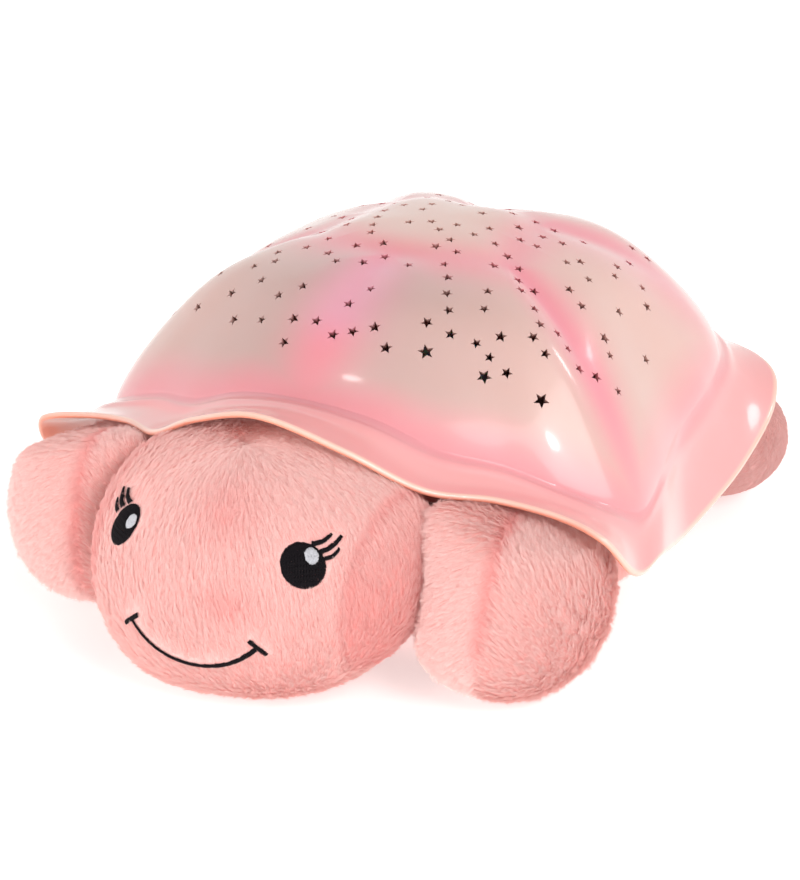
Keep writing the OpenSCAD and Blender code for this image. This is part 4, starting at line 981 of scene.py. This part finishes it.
def finish_torso(torso, seams):
    """The belly gets its opening round the battery housing, and the pile hangs down all round."""
    modify(torso, "SUBSURF", levels=1, render_levels=1)
    sink(torso, GROUND["body"] + 0.9 * bell(seam_distance(mesh_points(torso) / MM, seams[0]) / 2.4))
    points = mesh_points(torso) / MM
    points[:, 2] = np.clip(points[:, 2], 0.6, TORSO_TOP)
    set_points(torso, points * MM)
    box_low, box_high = (np.array(c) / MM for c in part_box("battery_door"))
    middle_y = (box_low[1] + box_high[1]) / 2
    size = box_high - box_low + OPENING_ROOM
    cut(torso, opening_cutter(size, middle_y))
    points = mesh_points(torso) / MM
    around = np.arctan2(points[:, 0], -(points[:, 1] - middle_y)) * BODY_RADIUS
    # the tint deepens towards the body's top, under the shell: painted shade
    lay_flow(torso.data, around, -points[:, 2], 0.5 * ramp(30, 44, points[:, 2]), 2 * math.pi * BODY_RADIUS)
    edge = np.maximum(np.abs(points[:, 0]) - size[0] / 2, np.abs(points[:, 1] - middle_y) - size[1] / 2)
    cover = ramp(1.0, 3.0, edge) * (1 - ramp(TORSO_TOP - 6, TORSO_TOP - 1, points[:, 2]))
    tufts(torso, "body", np.array([[0, 0, -1.0]]) + 0 * points, cover)
    clothe(torso, "torso", "body")
    grow_pile(torso, "body", cover, 0.35 + 0.65 * ramp(2, 14, points[:, 2]), 31)


# ---- embroidery
# each lash: [across, up] of its root and tip from the eye's middle, and its width, in eye radii
LASHES = [[[0.60, 0.86], [1.58, 1.20], 0.22], [[0.86, 0.46], [1.94, 1.02], 0.22],
          [[0.98, 0.16], [1.66, 0.50], 0.20]]


def on_head(p):
    """The point of the head's form on the way from its middle to p."""
    v = np.asarray(p, float) - HEAD_MIDDLE
    d = np.array([v[0], v[1] - HEAD_LEAN * v[2], v[2]])
    power = 2 / PLUMPNESS
    d = d * np.sum(np.abs(d / HEAD_SIZE)**power)**(-1 / power)
    return HEAD_MIDDLE + [d[0], d[1] + HEAD_LEAN * d[2], d[2]]


def head_at(turn, lift):
    up = HEAD_SIZE[2] * math.sin(lift)
    return on_head(HEAD_MIDDLE + [HEAD_SIZE[0] * math.cos(lift) * math.sin(turn),
                                  HEAD_LEAN * up - HEAD_SIZE[1] * math.cos(lift) * math.cos(turn), up])


def drawn(centre, xy):
    """A flat drawing [across, up] laid on the head round a point."""
    normal = unit(centre - HEAD_MIDDLE)
    across = unit(np.cross([0, 0, 1.0], normal))
    up = np.cross(normal, across)
    return on_head(centre + across * xy[0] + up * xy[1])


EYES = {side: head_at(side * EYE_TURN, EYE_LIFT) for side in (1, -1)}
MOUTH_PLACE = head_at(0, MOUTH_CORNER)
MOUTH_HALF = head_at(MOUTH_TURN, MOUTH_CORNER)[0]
MOUTH_DROP = MOUTH_PLACE[2] - head_at(0, MOUTH_MIDDLE)[2]
MOUTH_LINE = [[MOUTH_HALF * t, -MOUTH_DROP * (1 - t * t)] for t in np.linspace(-1, 1, 49)]
THREAD, SATIN_PITCH, FILL_PITCH = 0.17, 1.7, 1.75  # the pitches are in thread radii
EYE_WIDTH = {1: 1.0, -1: 0.82}  # in the photograph the right eye is stitched narrower


def tick_line(side):
    """The short stroke that closes a corner of the mouth."""
    return [[side * (MOUTH_HALF + 0.8 + 3.2 * t), 0.4 - 2.6 * t] for t in np.linspace(-1, 1, 9)]


def lash_line(side, lash):
    """A lash, which sags a little between its root and its tip."""
    (x0, y0), (x1, y1), _ = lash
    return [[side * EYE_RADIUS * (x0 + (x1 - x0) * t),
             EYE_RADIUS * (y0 + (y1 - y0) * t - 0.12 * math.sin(math.pi * t))]
            for t in np.linspace(0, 1, 13)]


def face_marks():
    """Points all over the embroidery, on the head's form: where the pile stops."""
    marks = []
    for side, eye in EYES.items():
        for r in np.arange(0, EYE_RADIUS, 0.9):
            for a in np.arange(0, 2 * math.pi, 0.9 / max(r, 0.4)):
                marks.append(drawn(eye, [EYE_WIDTH[side] * r * math.cos(a), r * math.sin(a)]))
        for lash in LASHES:
            marks += [drawn(eye, xy) for xy in lash_line(side, lash)]
        marks += [drawn(MOUTH_PLACE, xy) for xy in tick_line(side)]
    marks += [drawn(MOUTH_PLACE, xy) for xy in MOUTH_LINE]
    return np.array(marks) + PLACE


def face_nearness(points, reach):
    """1 under the embroidery of the face, falling to 0 within reach beyond it."""
    far = np.array([FACE_TREE.find(p)[2] if p[1] < PLACE[1] - HEAD_FORWARD else 99.0 for p in points])
    return 1 - ramp(0.9, 0.9 + reach, far)


FACE_TREE = point_tree(face_marks())


class Stitches:
    """Threads laid on the head's skin, gathered into one mesh."""

    def __init__(self, tree):
        self.tree, self.points, self.faces = tree, [], []

    def skin(self, p):
        """A point of the form dropped on to the plush ground, and the way out of it."""
        middle = (HEAD_MIDDLE + PLACE) * MM
        way = Vector((p + PLACE) * MM - middle).normalized()
        hit, normal, _, _ = self.tree.ray_cast(Vector(middle) + way * 0.09, -way)
        return np.array(hit) / MM, np.array(normal)

    def thread(self, centre, start, end, lift, rise, steps=5):
        """One stitch from start to end, both [across, up], arched by rise over lift."""
        path, sides = [], 6
        self.faces += tube_faces(steps + 1, sides, len(self.points))
        for i in range(steps + 1):
            t = i / steps
            xy = [start[0] + (end[0] - start[0]) * t, start[1] + (end[1] - start[1]) * t]
            hit, normal = self.skin(drawn(centre, xy))
            path.append(hit + normal * (lift + rise * math.sin(math.pi * t)**0.7))
        path = np.array(path)
        ways = unit(np.gradient(path, axis=0))
        for i, (p, way) in enumerate(zip(path, ways)):
            side = unit(np.cross(way, normal))
            up = np.cross(side, way)
            r = THREAD * (0.75 if i in (0, steps) else 1.0)
            self.points += [p + r * (math.cos(a) * side + math.sin(a) * up)
                            for a in (2 * math.pi * k / sides for k in range(sides))]

    def satin(self, centre, line, widths, lift, rise):
        """Close stitches across a line, a little ragged at their ends."""
        line = np.array(line)
        lengths = np.concatenate([[0], np.cumsum(np.linalg.norm(np.diff(line, axis=0), axis=1))])

        def along(at):
            return np.array([np.interp(at, lengths, line[:, k]) for k in (0, 1)])

        for at in np.arange(0, lengths[-1], THREAD * SATIN_PITCH):
            p, way = along(at), unit(along(at + 0.4) - along(at - 0.4))
            across = np.array([-way[1], way[0]])
            half = np.interp(at, lengths, np.linspace(*widths, len(lengths))) / 2
            a, b = half + RNG.uniform(-0.09, 0.09, 2)
            self.thread(centre, p + across * a + way * 0.18, p - across * b - way * 0.18, lift, rise, 4)

    def fill(self, centre, middle, half, lift, crown):
        """Upright stitches that fill an oval, staggered like bricks, higher in its middle."""
        for column, x in enumerate(np.arange(-half[0], half[0], THREAD * FILL_PITCH)):
            top = half[1] * math.sqrt(max(0, 1 - (x / half[0])**2))
            if top < 0.5:
                continue
            low, high = -top - RNG.uniform(-0.1, 0.16), top + RNG.uniform(-0.1, 0.16)
            joins = np.arange(-12 + 1.7 * (column % 3), 12, 5.1)
            breaks = [low, *[y for y in joins if low + 1.2 < y < high - 1.2], high]
            for y0, y1 in zip(breaks, breaks[1:]):
                height = lift + crown * (1 - (x / half[0])**2) * (1 - ((y0 + y1) / 2 / half[1])**2)
                ends = ([middle[0] + x, middle[1] + y] for y in (y0, y1))
                self.thread(centre, *ends, height, 0.12)

    def make(self, name, node, material, slot):
        obj = make_object(name, self.points, self.faces)
        obj.data.materials.append(material)
        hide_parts(node)


def thread_material(name, colour, sheen, shine):
    """Twisted rayon thread: fine streaks along it and a soft shine."""
    n = Nodes(name)
    streak = n.noise(2200)
    n.set(Base_Color=n.ramp(streak, [(0.3, np.multiply(colour, 0.7)), (0.7, colour)]), Roughness=0.5,
          Sheen_Weight=sheen, Sheen_Roughness=0.4, Specular_IOR_Level=shine)
    n.bump(streak, 0.00008, 0.5)
    return n.material


def make_face(head):
    """Eyes, each with its glint and lashes, and the mouth. Their sizes are shares of EYE_RADIUS."""
    tree = BVHTree.FromObject(head, bpy.context.evaluated_depsgraph_get())
    black = thread_material("thread_black_satin", (0.007, 0.005, 0.007), 0.0, 0.12)
    grey = thread_material("thread_grey_satin", (0.62, 0.62, 0.66), 0.2, 0.4)
    for side, eye in EYES.items():
        disc, glint, lashes = Stitches(tree), Stitches(tree), Stitches(tree)
        word, width = SIDES[side], EYE_WIDTH[side]
        disc.fill(eye, (0, 0), (EYE_RADIUS * 0.97 * width, EYE_RADIUS * 1.05), 0.35, 0.35)
        glint.fill(eye, (EYE_RADIUS * 0.46 * width, EYE_RADIUS * 0.33),
                   (EYE_RADIUS * 0.29, EYE_RADIUS * 0.37), 0.95, 0.2)
        for lash in LASHES:
            thick = EYE_RADIUS * lash[2]
            lashes.satin(eye, lash_line(side, lash), [thick, thick * 0.5], 0.6, 0.2)
        disc.make(f"{word}_eye_stitches", f"{word}_eye", black, "thread_black")
        glint.make(f"{word}_eye_glint_stitches", f"{word}_eye_glint", grey, "thread_grey")
        lashes.make(f"{word}_lash_stitches", f"{word}_lashes", black, "thread_black")
    mouth = Stitches(tree)
    mouth.satin(MOUTH_PLACE, MOUTH_LINE, [0.95, 1.45], 0.45, 0.25)
    for side in (-1, 1):
        mouth.satin(MOUTH_PLACE, tick_line(side), [1.7, 1.7], 0.5, 0.25)
    mouth.make("mouth_stitches", "mouth", black, "thread_black")


# where each flipper's crease stands, the way across it, and how low it reaches
REAR_SEAM = (70.0, 104.0, 0), (0.92, -0.39, 0), 0
FLIPPER_SEAMS = {("front", 1): ((77.5, -74.0, 58), (0.955, 0.297, -0.14), 28),
                 ("front", -1): ((72.5, -96.0, 0), (0.98, -0.2, 0), 16),
                 ("rear", 1): REAR_SEAM, ("rear", -1): REAR_SEAM}


def make_plush(shell):
    """The pieces are swelled together, and then each is finished on its own."""
    head = start_head()
    flippers = []
    for kind, middle, size, flats in (("front", FRONT_MIDDLE, FRONT_SIZE, FRONT_FLATS),
                                      ("rear", REAR_MIDDLE, REAR_SIZE, REAR_FLATS)):
        for side, word in SIDES.items():
            node = f"{kind}_{word}_flipper"
            piece = start_flipper(node + "_plush", middle, size, flats, side, *FLIPPER_SEAMS[kind, side])
            flippers.append((piece, kind, node, middle, side))
    torso = start_torso()
    stuff([head, torso, *[f[0] for f in flippers]])
    finish_head(*head[:2])
    finish_torso(*torso[:2])
    make_hem(shell)
    for seed, (piece, *about) in enumerate(flippers, 41):
        finish_flipper(*piece[:2], *about, seed)
    make_face(head[0])


# ---- camera, lights and floor
CAMERA_AIM, CAMERA_WAY, CAMERA_REACH = (0.012, -0.0267, 0.0609), (29.5, 21.9), 1.2
LENS, SENSOR = 141.7, 36


def toward(azimuth, elevation):
    """The way that is turned by azimuth from straight ahead of the turtle, in degrees."""
    turn, lift = math.radians(azimuth), math.radians(elevation)
    return Vector((math.sin(turn) * math.cos(lift), -math.cos(turn) * math.cos(lift), math.sin(lift)))


def aim(obj, centre, way, reach):
    """Puts a camera or light at reach from centre, and turns it to face it."""
    obj.location = Vector(centre) + way * reach
    obj.rotation_euler = (-way).to_track_quat("-Z", "Y").to_euler()
    bpy.context.scene.collection.objects.link(obj)


def make_camera():
    camera = bpy.data.objects.new("camera", bpy.data.cameras.new("camera"))
    camera.data.lens, camera.data.sensor_width = LENS, SENSOR
    camera.data.clip_start, camera.data.clip_end = 0.05, 20
    aim(camera, CAMERA_AIM, toward(*CAMERA_WAY), CAMERA_REACH)
    bpy.context.scene.camera = camera


def softbox(name, azimuth, elevation, size, radiance, glossy, shape):
    """An area light on a sphere round the turtle; a glossy one shows only in reflections."""
    light = bpy.data.lights.new(name, "AREA")
    light.shape, light.size, light.size_y = shape, *size
    light.energy = radiance * math.pi * size[0] * size[1] * (math.pi / 4 if shape == "ELLIPSE" else 1)
    obj = bpy.data.objects.new(name, light)
    obj.visible_diffuse, obj.visible_glossy = not glossy, glossy
    obj.visible_camera = False
    aim(obj, (0, 0, 0.06), toward(azimuth, elevation), LIGHT_REACH)


LIGHT_REACH, FLOOR_HALF = 1.4, 4000
ROOM_LIGHT, DIM_LIGHT, DIM_SIDE = 1.0, 0.35, (-45, 58)
# [name, turn from straight ahead, height, width and height in metres, radiance, only in reflections, shape]
LIGHTS = [["key", 55, 34, (0.5, 0.5), 9.0, False, "ELLIPSE"],
          ["fill", -15, 14, (0.9, 0.9), 4.2, False, "ELLIPSE"],
          ["window", 73, 33, (1.5, 1.0), 2.2, True, "RECTANGLE"],
          ["lamp", 58, 43, (0.15, 0.15), 22, True, "ELLIPSE"],
          ["streak", -14, 59, (0.16, 0.07), 14, True, "ELLIPSE"],
          ["tail_spot", 139, 37, (0.22, 0.22), 8, True, "ELLIPSE"]]


def make_studio():
    room = Nodes("studio", "Background")
    # The room is dimmer high up in front and to the left, as the paint's reflections show.
    dim = room.add("VectorMath", {"operation": "DOT_PRODUCT"}, n1=toward(*DIM_SIDE),
                   n0=room.add("TexCoord").outputs["Generated"]).outputs["Value"]
    level = room.add("MapRange", {"interpolation_type": "SMOOTHSTEP"}, Value=dim, From_Min=0.35,
                     From_Max=0.9, To_Min=ROOM_LIGHT, To_Max=DIM_LIGHT).outputs["Result"]
    room.set(Color=(1.0, 0.985, 0.97, 1), Strength=level)
    bpy.context.scene.world = room.material
    for light in LIGHTS:
        softbox(*light)
    n = Nodes("floor_paper")
    n.set(Base_Color=n.ramp(n.noise(30, 3), [(0.3, (0.93, 0.92, 0.92)), (0.7, (0.95, 0.945, 0.94))]),
          Roughness=0.9, Emission_Color=(1, 0.99, 0.985, 1), Emission_Strength=0.45)
    corners = np.array([[-1, -1, 0], [1, -1, 0], [1, 1, 0], [-1, 1, 0]]) * FLOOR_HALF
    floor = make_object("floor", corners, [(0, 1, 2, 3)], None)
    floor.data.materials.append(n.material)
    bpy.context.scene.view_settings.view_transform = "Standard"


make_camera()
make_studio()
finish_carried_nodes()
make_plush(make_shell())
